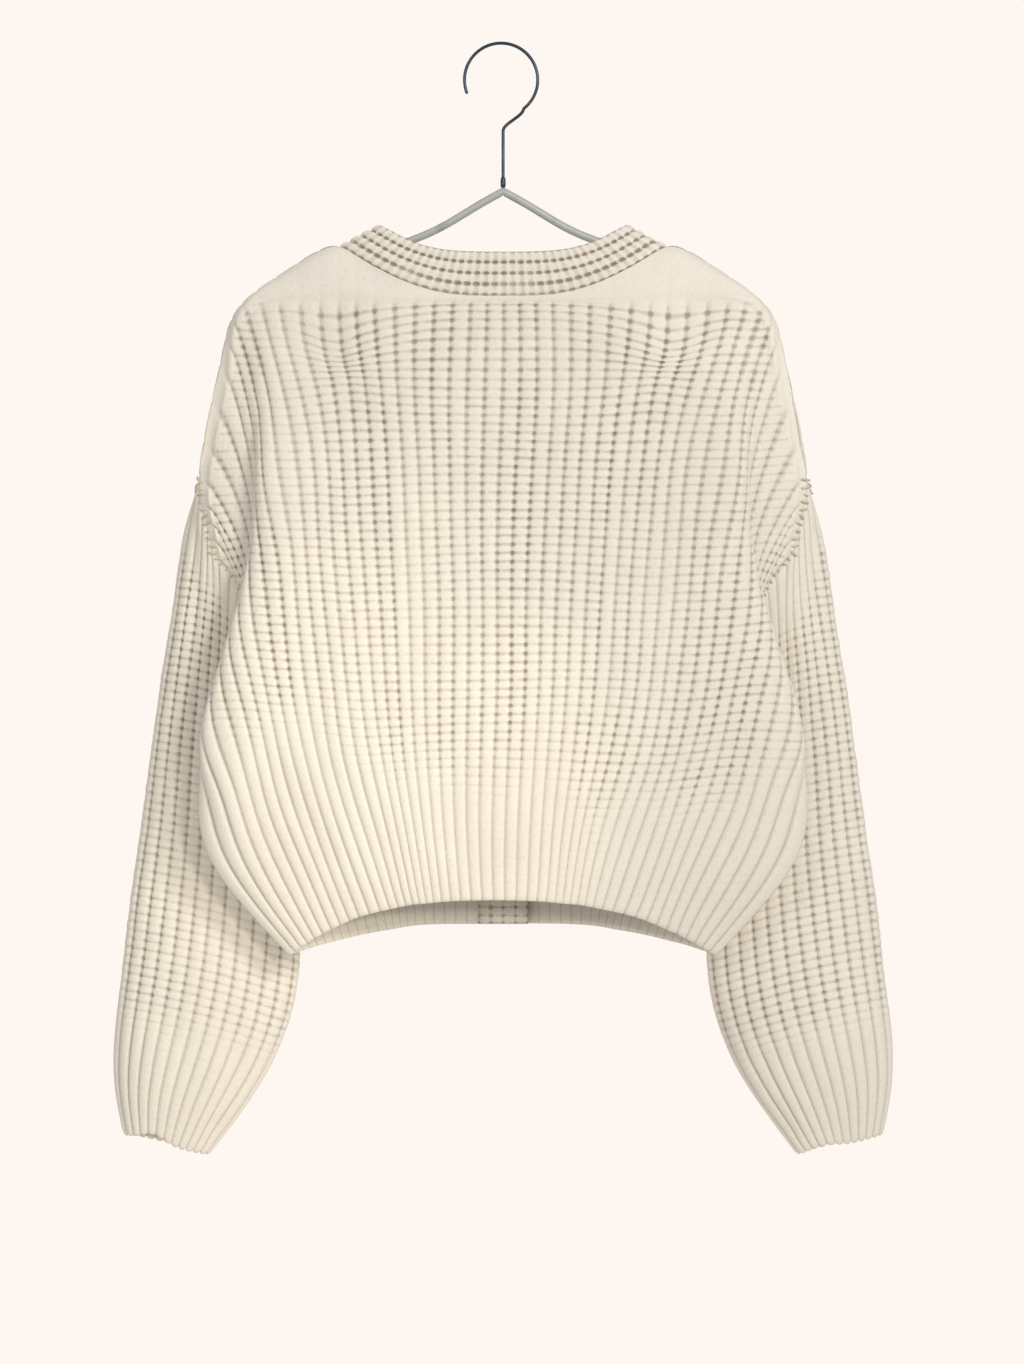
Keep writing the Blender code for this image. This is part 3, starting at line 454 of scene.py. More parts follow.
# %% Tables of the back and the fronts
LINE_COURSE = 0.4       # where the ribs start
COURSES_BELOW = 8       # from that line to the hem
COURSES = np.array([0.0, 0.12, 0.4, 1.4, 2.4, 3.4, 4.4, 5.4, 6.4, 7.4, 8.4])
SHOULDER_RIB = 20       # the rib where the sleeve starts
NECK_RIB = 9            # the rib where neck and shoulder meet
SIDE_RIB = 24
FRONT_EDGE_RIB = 2

HEIGHTS = {
    # rib: (edge, line, back hem, front hem)
    0: (-217.6, -222, -734, -757),
    5: (-208, -222, -735.5, -758),
    8: (-181, -222, -737.5, -759),
    9: (-173.5, -222, -738, -760),
    11: (-188.5, -222.5, -740.5, -762),
    13: (-212, -226, -744, -764),
    15: (-236, -251, -749, -767),
    17: (-275, -290, -756, -770),
    20: (-371, -381, -768, -775),
    22: (-408, -416, -776, -779),
    24: (-437, -446, -783, -783),
}
BACK_ACROSS = {
    # rib: (edge, line, then eighths of the way to the hem)
    5: (76, 75, 74, 69.5, 66, 62.5, 60.5, 56.5, 50.5, 44.5),
    8: (127.5, 126, 118.5, 110.5, 105, 99.5, 95, 87.5, 75, 64),
    9: (142, 141, 132.5, 123.5, 117.5, 111.5, 106.5, 97, 82.5, 70),
    11: (177, 175.5, 162, 147.5, 142, 136.5, 129.5, 118.5, 100, 83),
    13: (212, 208, 189, 174, 166, 160.5, 152, 140, 120, 99),
    15: (233, 226, 208, 202, 190, 182.5, 174, 159.5, 140.5, 118),
    17: (243, 234, 218, 212, 213, 204.5, 192.5, 179, 158, 135),
    20: (261, 251, 226, 220, 237, 232, 219, 205, 183.5, 159),
    22: (256, 246, 228, 221, 243, 255, 241, 226, 203, 172),
    24: (250, 241, 218, 206, 222, 250, 260, 251, 221, 183),
}
BACK_DEPTH = {
    0: (20, 22, 27, 34, 40, 47, 53, 55, 49, 36),
    5: (17, 21, 27, 34, 40, 46.5, 52.5, 54, 48, 35),
    8: (7.5, 18.5, 26.5, 34, 39.5, 46, 51.5, 52.5, 46, 33),
    9: (0, 17, 26, 33.5, 39.5, 46, 51, 52, 45, 32),
    11: (0, 15, 25.5, 33, 39, 45.5, 49.5, 50, 42, 29),
    13: (0, 12, 24, 33, 39, 44, 48, 47, 39, 26),
    15: (0, 9, 20, 33, 39, 43, 46, 44.5, 36, 23),
    17: (2, 7, 12, 19, 34, 42, 44, 41, 32, 19),
    20: (-2, 3, 4, 8, 23, 35, 38, 33, 24, 12),
    22: (-4, 0, -3, -5, 9, 22, 31, 28, 18, 7),
    24: (-8, -8, -15, -30, -7, 4, 12, 13, 8, 0),
}
CENTRE_LEAN = (0, 0, 1, 3, 4.5, 5, 5.5, 7.5, 9, 8)
FRONT_ACROSS = {
    2: (21.5, 21.5, 21.5, 21.5, 21.5, 21.5, 21.5, 21.5, 21.5, 21.5),
    9: (142, 141, 131, 121, 113, 106, 102, 98, 91, 83),
    11: (177, 175.5, 162, 149, 138, 129, 122.5, 118, 108, 95),
    13: (212, 208, 188, 171, 157, 146, 140, 136, 125, 108),
    15: (233, 227, 203, 184, 167, 156, 154, 152, 142, 125),
    17: (243, 243, 218, 195, 176, 168, 172, 172, 158, 139),
    20: (261, 255, 228, 199, 184, 189, 204, 202, 184, 160),
    22: (260, 250, 229, 198, 196, 216, 231, 224, 203, 172),
    24: (254, 245, 221, 206, 222, 250, 260, 251, 221, 183),
}
FRONT_DEPTH = {
    2: (0, -16, -25, -34, -41, -47, -51, -53, -48, -37),
    9: (0, -15, -24, -32, -38, -42, -44, -44, -39, -31),
    11: (0, -14, -23.5, -31, -36, -38, -38, -37.5, -33.5, -27),
    13: (0, -12, -22, -30, -33, -34, -32, -30, -27, -23),
    15: (0, -9, -20, -28, -29, -29, -26, -22, -20, -19),
    17: (2, -9, -22, -25, -24, -20, -15, -11, -11, -15),
    20: (-2, -14, -29, -28, -18, -10, -2, 2, -1, -8),
    22: (-28, -35, -41, -29, -13, -3, 6, 8, 4, -4),
    24: (-44, -47, -51, -30, -7, 4, 12, 13, 8, 0),
}
FRONT_TOP_HEIGHTS = {20: (-371, -379), 22: (-392, -400), 24: (-427, -436)}
print("guide ribs:", len(BACK_ACROSS) + 1, "on the back,", len(FRONT_ACROSS), "on a front")

# %% [markdown]
# ## From tables to a hanging panel
#
# A panel is a sheet of guide ribs with smooth curves between them. Two things are added by rule
# rather than by table: the shoulder rounds over the hanger, and the armhole is scooped out of the
# panel's side by drawing its ribs together there.

# %% Draped panels
CROWN_DEPTH = 5.2       # how far the shoulder stands out over the hanger, in mm
CROWN_LIFT = 1.5
CROWN_AT = 0.2          # its place between the edge and the line
CROWN_AT_OUTER = 0.5    # and its place beyond the hanger
UNDERARM_COURSE = 2.4
SCOOP_RIBS = 1.8        # ribs that the armhole takes from the side of a panel
SCOOP_BEND = 0.6        # courses over which it is cut in, above the underarm
SCOOP_FADE = 1.4
FRONT_LAP = 4.2         # mm that one front lies over or under the middle
LAP_FULL_RIB = 5


class Drape:
    """A hanging panel: guide ribs at named courses, with smooth curves between them."""

    def __init__(self, ribs, net, facing):
        self.ribs = ribs
        self.net = net
        self.facing = facing        # +1 for the back and -1 for a front

    def points(self, rib, course):
        across = spline_weights(self.ribs, rib)
        down = spline_weights(COURSES, course)
        part = np.einsum("mnc,rcx->mnrx", down, self.net, optimize=True)
        return np.einsum("mnr,mnrx->mnx", across, part, optimize=True)

    def normals(self, rib, course):
        side = 0.2
        down = 0.06
        across = self.points(rib + side, course) - self.points(rib - side, course)
        along = self.points(rib, course + down) - self.points(rib, course - down)
        return unit(np.cross(across, along)) * self.facing


def course_heights(top, line, hem):
    """Heights of a guide rib: its edge, the line, and even steps from there to the hem."""
    below = [line + (hem - line) * i / COURSES_BELOW for i in range(1, COURSES_BELOW + 1)]
    return [top, line] + below


def crowned(net, rib, facing):
    """Add the rounded second course to a guide rib's (across, depth, height) rows."""
    edge, line = net[0], net[1]
    share = smooth_step((rib - 7.5) / 1.5) * (1 - smooth_step((rib - 14) / 4))
    bulge = np.array([0.0, facing * CROWN_DEPTH, CROWN_LIFT]) * share
    outward = smooth_step((rib - 13) / 4)
    crown = edge + (line - edge) * (CROWN_AT + (CROWN_AT_OUTER - CROWN_AT) * outward) + bulge
    return np.insert(net, 1, crown, axis=0)


def back_drape():
    ribs = sorted(HEIGHTS)
    net = []
    for rib in ribs:
        across = np.array(BACK_ACROSS.get(rib, [0.0] * len(CENTRE_LEAN)), float)
        height = course_heights(*HEIGHTS[rib][:3])
        rows = np.stack([across, BACK_DEPTH[rib], height], axis=-1)
        net.append(crowned(rows, rib, 1.0))
    lean = np.insert(np.array(CENTRE_LEAN, float), 1, 0.0)
    both = [rows * (-1, 1, 1) for rows in net[:0:-1]] + net
    both_ribs = [-rib for rib in ribs[:0:-1]] + ribs
    for rib, rows in zip(both_ribs, both):
        rows[:, 0] += lean * (1 - (rib / SIDE_RIB) ** 2)
    return Drape(both_ribs, np.array(both), 1.0)


def front_drape(lap):
    """The wearer's left front. `lap` moves its inner ribs back (+) or forward (-)."""
    ribs = sorted(FRONT_ACROSS)
    net = []
    for rib in ribs:
        top, line, _, hem = HEIGHTS.get(rib, HEIGHTS[5])
        if rib == FRONT_EDGE_RIB:
            top = HEIGHTS[NECK_RIB][0]
        top, line = FRONT_TOP_HEIGHTS.get(rib, (top, line))
        height = course_heights(top, line, hem)
        if rib == SIDE_RIB:
            height[3:] = course_heights(*HEIGHTS[rib][:3])[3:]
        share = 1 - smooth_step((rib - LAP_FULL_RIB) / (NECK_RIB - LAP_FULL_RIB))
        depth = np.array(FRONT_DEPTH[rib], float) + lap * share
        rows = np.stack([np.array(FRONT_ACROSS[rib], float), depth, height], axis=-1)
        net.append(crowned(rows, max(rib, NECK_RIB), -1.0))
    return Drape(ribs, np.array(net), -1.0)


def scooped(rib, course):
    """The ribs of a panel's columns, drawn in where the armhole is cut out."""
    above = UNDERARM_COURSE - course
    opened = np.sqrt(1 - (1 - np.clip(above / SCOOP_BEND, 0, 1)) ** 2)
    opened = opened * (1 - smooth_step((above - SCOOP_BEND) / SCOOP_FADE))
    share = np.clip((np.abs(rib) - SHOULDER_RIB) / (SIDE_RIB - SHOULDER_RIB), 0, 1)
    return rib - np.sign(rib) * SCOOP_RIBS * opened * share


V_POINT = -430          # height where the neckline leaves the front edge


def neckline_course(drape, rib):
    """The course where a front rib meets the V neckline."""
    course = np.linspace(0.0, COURSES[-1], 600)[:, None]
    path = drape.points(np.full(course.shape, rib), course)[:, 0]
    edge_x = FRONT_ACROSS[FRONT_EDGE_RIB][0]
    slope = (HEIGHTS[NECK_RIB][0] - V_POINT) / (FRONT_ACROSS[NECK_RIB][0] - edge_x)
    over = path[:, 2] - (V_POINT + (path[:, 0] - edge_x) * slope)
    return course[np.argmax(over <= 0), 0]


# %% [markdown]
# ## A grid as fine as the stitches
#
# The body has 68 rows of stitches between the rib line and the hem, 7.5 mm each. Each rib gets six
# columns of points and each row of stitches four, set close together where the yarn dips and wide
# apart on its crest. An even grid would need twice as many for the same crisp dips.

# %% Columns and rows
COLUMN_AT = (0.0, 0.12, 0.28, 0.5, 0.72, 0.88)
ROW_AT = (0.0, 0.14, 0.5, 0.86)
ROW_PITCH = 7.53        # mm of cloth to each row of stitches
BODY_ROWS = 68
RIB_LINE_Z = -222.0
YOKE_COURSES = (0.0, 0.02, 0.05, 0.08, 0.12, 0.17, 0.22, 0.28, 0.33, 0.37)


def rib_places(first, last):
    return np.array([rib + at for rib in range(first, last) for at in COLUMN_AT] + [last], float)


def row_places(count):
    return np.array([row + at for row in range(count) for at in ROW_AT] + [count], float)


body_courses = np.concatenate(
    [YOKE_COURSES, LINE_COURSE + COURSES_BELOW * row_places(BODY_ROWS) / BODY_ROWS])
underarm_row = int(np.argmin(np.abs(body_courses - UNDERARM_COURSE)))
back_ribs = rib_places(-SIDE_RIB, SIDE_RIB)
front_ribs = rib_places(FRONT_EDGE_RIB, SIDE_RIB)
print("back grid: %d x %d" % (len(body_courses), len(back_ribs)))


def to_rows(course):
    """Rows of stitches below the rib line."""
    return (course - LINE_COURSE) * BODY_ROWS / COURSES_BELOW


# %% [markdown]
# ## Hand knitting is never even
#
# Ribs drift a little, rows rise and fall, and no two stitches are equally full. Slow seeded waves
# shift the ribs and rows by a fraction of a stitch, and a seeded table varies each stitch.

# %% Unevenness
RIB_DRIFT = 0.075
COURSE_DRIFT = 0.022


def slow_wave(first, second, seed):
    """A gentle uneven wave over two coordinates, between about -1 and 1."""
    chance = np.random.default_rng(seed)
    total = np.zeros(np.broadcast(first, second).shape)
    for _ in range(5):
        turn = chance.uniform(-1, 1, 2)
        total = total + np.sin(first * turn[0] + second * turn[1] + chance.uniform(0, 6.28))
    return total / 3.2


def wandered(rib, course, seed, edge):
    """Rib and course, shifted by slow waves. `edge` is 0 at a seam and 1 away from it."""
    row = to_rows(course)
    rib = rib + RIB_DRIFT * slow_wave(rib * 0.7, row * 0.22, seed) * edge
    course = course + COURSE_DRIFT * slow_wave(rib * 0.45, row * 0.35, seed + 1) * edge
    return rib, course


def each_stitch(rib, row, seed, spread):
    """One factor for each stitch, the same over the whole of it."""
    table = np.random.default_rng(seed).normal(1.0, spread, (64, 256))
    return table[np.floor(rib).astype(int) % 64, np.floor(row).astype(int) % 256]


# %% [markdown]
# ## Raise the stitches
#
# Each rib is a column of small cushions. Across, a cushion is broad and round with a narrow dip on
# each side. Down, it is split from the next by a thin line. Where dip and line meet, the surface
# sinks into a hole, and between two holes a strand of yarn bridges the groove. This relief is in
# the mesh itself, so that it shows at the outline and in the exported model.

# %% Relief of the knit
RIB_RISE = 3.2          # mm from groove to crest
RISE_PER_WIDTH = 0.24   # and no more than this part of a rib's width
ROW_DIP = 0.3
HOLE_DEPTH = 1.9
BRIDGE = 0.6
LINE_WIDTH = 0.1        # of a row
GROOVE_WIDTH = 0.16     # of half a rib


def stitch_relief(rib, row, stitched, seed, slanted=0.0):
    """Height of the knit over its grooves, for a rise of 1, and the depth of its holes in mm.

    `slanted` is 1 where the rows run across the grid, and their lines must be wider.
    """
    across = np.abs(2 * (rib - np.floor(rib)) - 1)
    along = row - np.round(row)
    wide_line = (0.5 + 0.5 * np.cos(2 * math.pi * row)) ** 2
    line = (1 - slanted) * np.exp(-(along / LINE_WIDTH) ** 2) + 0.75 * slanted * wide_line
    fullness = 1 + 0.09 * slow_wave(rib * 2.1, row * 0.5, seed + 3)
    fullness = fullness * (1 + stitched * (each_stitch(rib, row, seed + 2, 0.07) - 1))
    round_rib = np.sqrt(np.clip(1 - across ** 2.4, 0, 1))
    cushion = 1 - stitched * (ROW_DIP * line + 0.05 * (2 * np.abs(along)) ** 0.7)
    groove = np.exp(-((1 - across) / GROOVE_WIDTH) ** 2)
    depth = HOLE_DEPTH * line * each_stitch(rib + 0.5, row + 0.5, seed, 0.3)
    holes = groove * (BRIDGE * (1 - line) - depth)
    return round_rib * cushion * fullness, stitched * holes


# %% [markdown]
# ## Creases
#
# The large folds are in the tables. Over them lie softer troughs and ridges: where the back sags
# from the shoulders, where it swells over the hem, and where a sleeve bends. Each is a short line
# in ribs and courses with its own width and depth.

# %% Troughs and ridges
RIB_MM = 11.5
COURSE_MM = 64.0


def crease_heights(rib, course, table, wrap=None):
    """Sum of soft troughs (negative depth is a ridge), in mm outward."""
    height = np.zeros(rib.shape)
    for rib_a, course_a, rib_b, course_b, width, depth in table:
        away = rib - rib_a
        if wrap:
            away = (away + wrap / 2) % wrap - wrap / 2
        dx = away * RIB_MM
        dy = (course - course_a) * COURSE_MM
        lx = (rib_b - rib_a) * RIB_MM
        ly = (course_b - course_a) * COURSE_MM
        share = np.clip((dx * lx + dy * ly) / (lx * lx + ly * ly), 0, 1)
        off = np.hypot(dx - share * lx, dy - share * ly)
        swell = 0.55 + 0.45 * np.sin(math.pi * np.clip(share, 0.06, 0.94))
        height -= depth * swell * np.exp(-(off / width) ** 2)
    return height


BACK_CREASES = (
    # rib, course, to rib, to course, width, depth in mm
    (12.5, 0.7, 7.0, 2.6, 15, 2.0),
    (-13.0, 0.8, -8.5, 2.2, 13, 1.7),
    (16.0, 1.5, 18.6, 3.1, 12, 2.1),
    (-16.4, 1.3, -18.0, 2.7, 14, 2.4),
    (3.0, 2.9, -4.5, 3.7, 22, 1.3),
    (10.0, 4.4, 12.6, 6.3, 17, -1.6),
    (-6.2, 4.9, -9.0, 7.0, 19, 1.8),
    (-14.0, 4.2, -15.2, 6.1, 15, -1.5),
    (18.2, 5.6, 15.4, 7.6, 12, 1.9),
    (2.1, 5.9, 3.4, 7.6, 14, 1.4),
    (-19.4, 5.3, -16.8, 7.3, 11, 1.5),
)
FRONT_CREASES = (
    (14.0, 1.0, 9.4, 3.0, 14, 2.0),
    (17.2, 1.7, 13.6, 3.8, 13, 2.4),
    (7.0, 4.0, 9.2, 6.1, 18, -1.6),
    (12.4, 5.2, 10.6, 7.2, 15, 1.8),
    (18.6, 4.4, 19.6, 6.6, 12, 1.6),
    (4.6, 6.4, 5.4, 7.8, 12, 1.2),
)
print("creases: %d on the back, %d on a front" % (len(BACK_CREASES), len(FRONT_CREASES)))

# %% [markdown]
# ## Turn a sheet of points into a wall of cloth
#
# The outer face carries the knit. The inner face is plain and much coarser, because only its edge
# shows. The two are joined round the rim, so that the piece is closed and has its real thickness.

# %% Cloth wall
WALL = 2.6


def grid_quads(ids, closed):
    right = np.roll(ids, -1, axis=1) if closed else ids[:, 1:]
    left = ids if closed else ids[:, :-1]
    quads = np.stack([left[:-1], right[:-1], right[1:], left[1:]], axis=-1)
    return quads.reshape(-1, 4)


def rim_triangles(outer, inner, chosen):
    """Triangles between a fine edge and a coarse one. Points in `chosen` have a partner."""
    faces = []
    for j in range(len(chosen) - 1):
        middle = (chosen[j] + chosen[j + 1]) // 2
        for place in range(chosen[j], chosen[j + 1]):
            pivot = inner[j] if place < middle else inner[j + 1]
            faces.append((pivot, outer[place], outer[place + 1]))
        faces.append((inner[j], outer[middle], inner[j + 1]))
    return faces


def every(count, step):
    return sorted(set(range(0, count, step)) | {count - 1})


def new_piece(name, places, faces, finish):
    """A smooth piece from points in mm and faces, with its faces turned outward."""
    data = bpy.data.meshes.new(name)
    data.from_pydata((places * MM).tolist(), [], faces)
    shape = bmesh.new()
    shape.from_mesh(data)
    bmesh.ops.recalc_face_normals(shape, faces=shape.faces)
    shape.to_mesh(data)
    shape.free()
    data.shade_smooth()
    data.materials.append(finish)
    piece = bpy.data.objects.new(name, data)
    scene.collection.objects.link(piece)
    triangles = sum(len(face.vertices) - 2 for face in data.polygons)
    print("%-22s %7d triangles" % (name, triangles))
    return piece


def cloth_wall(name, points, normals, heights, knit, amounts, finish, closed=False):
    """A closed wall with a fine outer face. `amounts` are numbers stored for the material."""
    rows, columns = points.shape[:2]
    outer = points + normals * heights[..., None]
    pick_rows = every(rows, len(ROW_AT))
    pick_columns = every(columns, len(COLUMN_AT))
    if closed:
        pick_columns = pick_columns[:-1]
    inner = (points - normals * WALL)[np.ix_(pick_rows, pick_columns)]
    outer_ids = np.arange(rows * columns).reshape(rows, columns)
    inner_ids = rows * columns + np.arange(inner.shape[0] * inner.shape[1]).reshape(inner.shape[:2])
    faces = grid_quads(outer_ids, closed).tolist()
    faces += grid_quads(inner_ids[:, ::-1], closed).tolist()
    for row, inner_row in ((0, 0), (rows - 1, -1)):
        edge = outer_ids[row].tolist()
        partner = inner_ids[inner_row].tolist()
        chosen = list(pick_columns)
        if closed:
            edge.append(edge[0])
            partner.append(partner[0])
            chosen.append(columns)
        faces += rim_triangles(edge, partner, chosen)
    if not closed:
        for column in (0, -1):
            edge, partner = outer_ids[:, column].tolist(), inner_ids[:, column].tolist()
            faces += rim_triangles(edge, partner, pick_rows)
    places = np.concatenate([outer.reshape(-1, 3), inner.reshape(-1, 3)])
    piece = new_piece(name, places, faces, finish)
    data = piece.data
    add_knit_map(data, knit, (pick_rows, pick_columns), closed)
    for title, amount in amounts.items():
        amount = np.broadcast_to(amount, (rows, columns))
        picked = amount[np.ix_(pick_rows, pick_columns)]
        amount = np.concatenate([amount.ravel(), picked.ravel()])
        layer = data.attributes.new(title, "FLOAT", "POINT")
        layer.data.foreach_set("value", amount.astype(np.float32))
    return piece


def add_knit_map(data, knit, picks, closed):
    """Store ribs and rows of stitches as the map called "knit"."""
    flat = np.concatenate([knit.reshape(-1, 2), knit[np.ix_(*picks)].reshape(-1, 2)])
    index = np.empty(len(data.loops), np.int32)
    data.loops.foreach_get("vertex_index", index)
    corner = flat[index]
    if closed:
        total = round(knit[..., 0].max() + 1 - COLUMN_AT[-1])
        size = np.empty(len(data.polygons), np.int32)
        data.polygons.foreach_get("loop_total", size)
        owner = np.repeat(np.arange(len(size)), size)
        most = np.full(len(size), -1e9)
        np.maximum.at(most, owner, corner[:, 0])
        corner[:, 0] += np.where(most[owner] - corner[:, 0] > total / 2, total, 0)
    layer = data.uv_layers.new(name="knit")
    layer.data.foreach_set("uv", corner.astype(np.float32).ravel())


# %% [markdown]
# ## Shape the body
#
# Back and fronts share their shoulder and side seams, so both are worked out before either becomes
# a mesh. Along a seam they also share one outward direction, and the cloth bends toward it over the
# last centimetre.

# %% Sheets of the back and fronts
SEAM_REACH = 12.0       # mm over which the cloth bends to a seam
SEAM_GAP = 0.15
PRESSED = 0.8           # how flat the ribs are pressed under the arm
PRESSED_RIBS = 3
PRESSED_COURSES = 1.3
BACK_SEED = 11
FRONT_SEED = {"left": 23, "right": 37}


def edge_window(rib, course, first_rib):
    """0 at the seams and edges of a panel, and 1 a rib or so inside it."""
    side = smooth_step((SIDE_RIB - np.abs(rib)) / 2.0)
    inner = smooth_step((rib - first_rib) / 2.0) if first_rib is not None else 1.0
    return side * inner * smooth_step(course / 0.3) * smooth_step((COURSES[-1] - course) / 0.25)


def body_sheet(drape, ribs, course, seed, first_rib):
    rib = np.broadcast_to(ribs, course.shape)
    window = edge_window(rib, course, first_rib)
    free_rib, free_course = wandered(scooped(rib, course), course, seed, window)
    return drape.points(free_rib, free_course), drape.normals(free_rib, free_course)


back_shape = back_drape()
back_course = np.repeat(body_courses[:, None], len(back_ribs), axis=1)
back_points, back_normals = body_sheet(back_shape, back_ribs, back_course, BACK_SEED, None)

front_course = {}
front_sheets = {}
for side in SIGN:
    shape = front_drape(FRONT_LAP * SIGN[side])
    starts = np.array([neckline_course(shape, rib) if rib < NECK_RIB else 0.0
                       for rib in front_ribs])
    share = body_courses[:, None] / COURSES[-1]
    course = starts[None, :] + (COURSES[-1] - starts[None, :]) * share
    front_course[side] = course
    front_sheets[side] = body_sheet(shape, front_ribs, course, FRONT_SEED[side], FRONT_EDGE_RIB)
print("back spans %.0f mm" % np.ptp(back_points[..., 0]))

# %% [markdown]
# ## Sleeves
#
# A sleeve is a tube of 24 ribs. Its first ring is the armhole, which runs from the shoulder point
# down the back panel's side to the underarm and up the front's. Ten flattened rings, leaning and
# narrowing toward the cuff, carry it down.

# %% Sleeve tables and rings
SLEEVE_RIBS = 24
SLEEVE_TURN = 1.0       # the tube is turned on the ring by this many ribs
UNDERARM_TURN = 0.2
SLEEVE_ROUNDNESS = 0.92     # 1 is an ellipse, and less is squarer
SLEEVE_ROWS = 77
SLEEVE_RINGS = (
    # outer_x, outer_y, outer_z, inner_x, inner_y, inner_z, half_depth
    (277, -40, -430, 210, -58, -564, 28),
    (286, -50, -487, 205, -62, -610, 30),
    (296, -57, -545, 196, -62, -659, 31),
    (305, -60, -606, 187, -61, -706, 32),
    (313, -61, -667, 181, -61, -752, 31),
    (322, -61, -727, 181, -61, -796, 30),
    (329, -60, -788, 188, -60, -838, 30),
    (336, -59, -849, 207, -59, -885, 29),
    (337, -58, -900, 233, -58, -926, 23),
    (330, -57, -943, 258, -57, -960, 14),
)


def along_line(points, at):
    """Points at even shares `at` of a line's length."""
    length = cumulative(np.linalg.norm(np.diff(points[:, :3], axis=0), axis=1))
    return np.stack([np.interp(at * length[-1], length, column) for column in points.T], axis=1)


def ring_from_loop(loop, underarm, places):
    """The armhole at rib places: half the ribs run to the underarm and half from it."""
    half = SLEEVE_RIBS / 2
    first = along_line(loop[:underarm + 1], places[places < half] / half)
    second = along_line(np.concatenate([loop[underarm:], loop[:1]]),
                        places[places >= half] / half - 1)
    return np.concatenate([first, second])


def sleeve_ring(row, places):
    """One ring of the sleeve at the rib places, from the shoulder point round the back."""
    outer = np.array(row[0:3], float)
    inner = np.array(row[3:6], float)
    middle = (outer + inner) / 2
    reach = (outer - inner) / 2
    fine = np.linspace(0.0, 2 * math.pi, 721)
    across = np.sign(np.cos(fine)) * np.abs(np.cos(fine)) ** SLEEVE_ROUNDNESS
    deep = np.sign(np.sin(fine)) * np.abs(np.sin(fine)) ** SLEEVE_ROUNDNESS
    curve = middle + across[:, None] * reach + deep[:, None] * np.array([0.0, row[6], 0.0])
    length = cumulative(np.linalg.norm(np.diff(curve, axis=0), axis=1))
    half = SLEEVE_RIBS / 2
    turned = np.interp(places, (0, half, SLEEVE_RIBS),
                       (SLEEVE_TURN, half + UNDERARM_TURN, SLEEVE_RIBS + SLEEVE_TURN))
    at = (turned / SLEEVE_RIBS * length[-1]) % length[-1]
    return np.stack([np.interp(at, length, column) for column in curve.T], axis=1)


# %% [markdown]
# ## Level rows of stitches
#
# A sleeve is knitted from the cuff up, so its rows of stitches are level near the cuff, and the
# armhole cuts across them. Each rib is therefore divided from the cuff at the same pitch. Where a
# rib is shorter, its last rows are squeezed into the seam.

# %% Divide each rib from the cuff
SQUEEZE_FROM = 0.93     # share of a rib's length from the cuff


def level_rows(tube):
    """Resample each column of a tube at the pitch of the rows, counted from its lower end."""
    steps = np.linalg.norm(np.diff(tube[::-1], axis=0), axis=2)
    want = (SLEEVE_ROWS - row_places(SLEEVE_ROWS)) * ROW_PITCH
    room = 1 - SQUEEZE_FROM
    result = np.empty((len(want), tube.shape[1], 3))
    for column in range(tube.shape[1]):
        length = cumulative(steps[:, column])
        share = want / length[-1]
        tail = 1 - np.exp(-np.maximum(share - SQUEEZE_FROM, 0) / room)
        tail = tail / (1 - math.exp(-(share[0] - SQUEEZE_FROM) / room))
        share = np.where(share < SQUEEZE_FROM, share, SQUEEZE_FROM + room * tail)
        for axis in range(3):
            result[:, column, axis] = np.interp(share * length[-1], length,
                                                tube[::-1, column, axis])
    return result


# %% [markdown]
# ## Sew body and sleeve together
#
# Where body and sleeve run on into each other they share one direction along the armhole. In the
# fold under the arm, where they lie back to back, each keeps its own.

# %% Join the sheets
SHARED_FROM = 0.6


def nearest_of(points, targets):
    """For each point, the index of the nearest target."""
    gaps = np.linalg.norm(points[:, None] - targets[None, :], axis=2)
    return np.argmin(gaps, axis=1)


def ring_normals(grid):
    ahead = np.roll(grid, -1, axis=1) - np.roll(grid, 1, axis=1)
    return unit(np.cross(np.gradient(grid, axis=0), ahead))


def ease_from_edge(points, normals, axis, index, hold=1.0):
    """Turn the directions near an edge toward those of the edge itself."""
    edge_points = np.take(points, [index], axis=axis)
    edge_normals = np.take(normals, [index], axis=axis)
    away = np.linalg.norm(points - edge_points, axis=-1)
    share = (1 - smooth_step(away / SEAM_REACH)) * hold
    return unit(normals * (1 - share[..., None]) + edge_normals * share[..., None])


def armhole_loop():
    """The armhole's points as (panel, row, column), round from the shoulder point."""
    first_back = int(np.argmin(np.abs(half_ribs - SHOULDER_RIB)))
    first_front = int(np.argmin(np.abs(front_ribs - SHOULDER_RIB)))
    last_back, last_front = len(half_ribs) - 1, len(front_ribs) - 1
    keys = [("back", 0, j) for j in range(first_back, last_back + 1)]
    keys += [("back", i, last_back) for i in range(1, underarm_row + 1)]
    keys += [("front", i, last_front) for i in range(underarm_row - 1, -1, -1)]
    keys += [("front", 0, j) for j in range(last_front - 1, first_front, -1)]
    return keys, keys.index(("back", underarm_row, last_back))


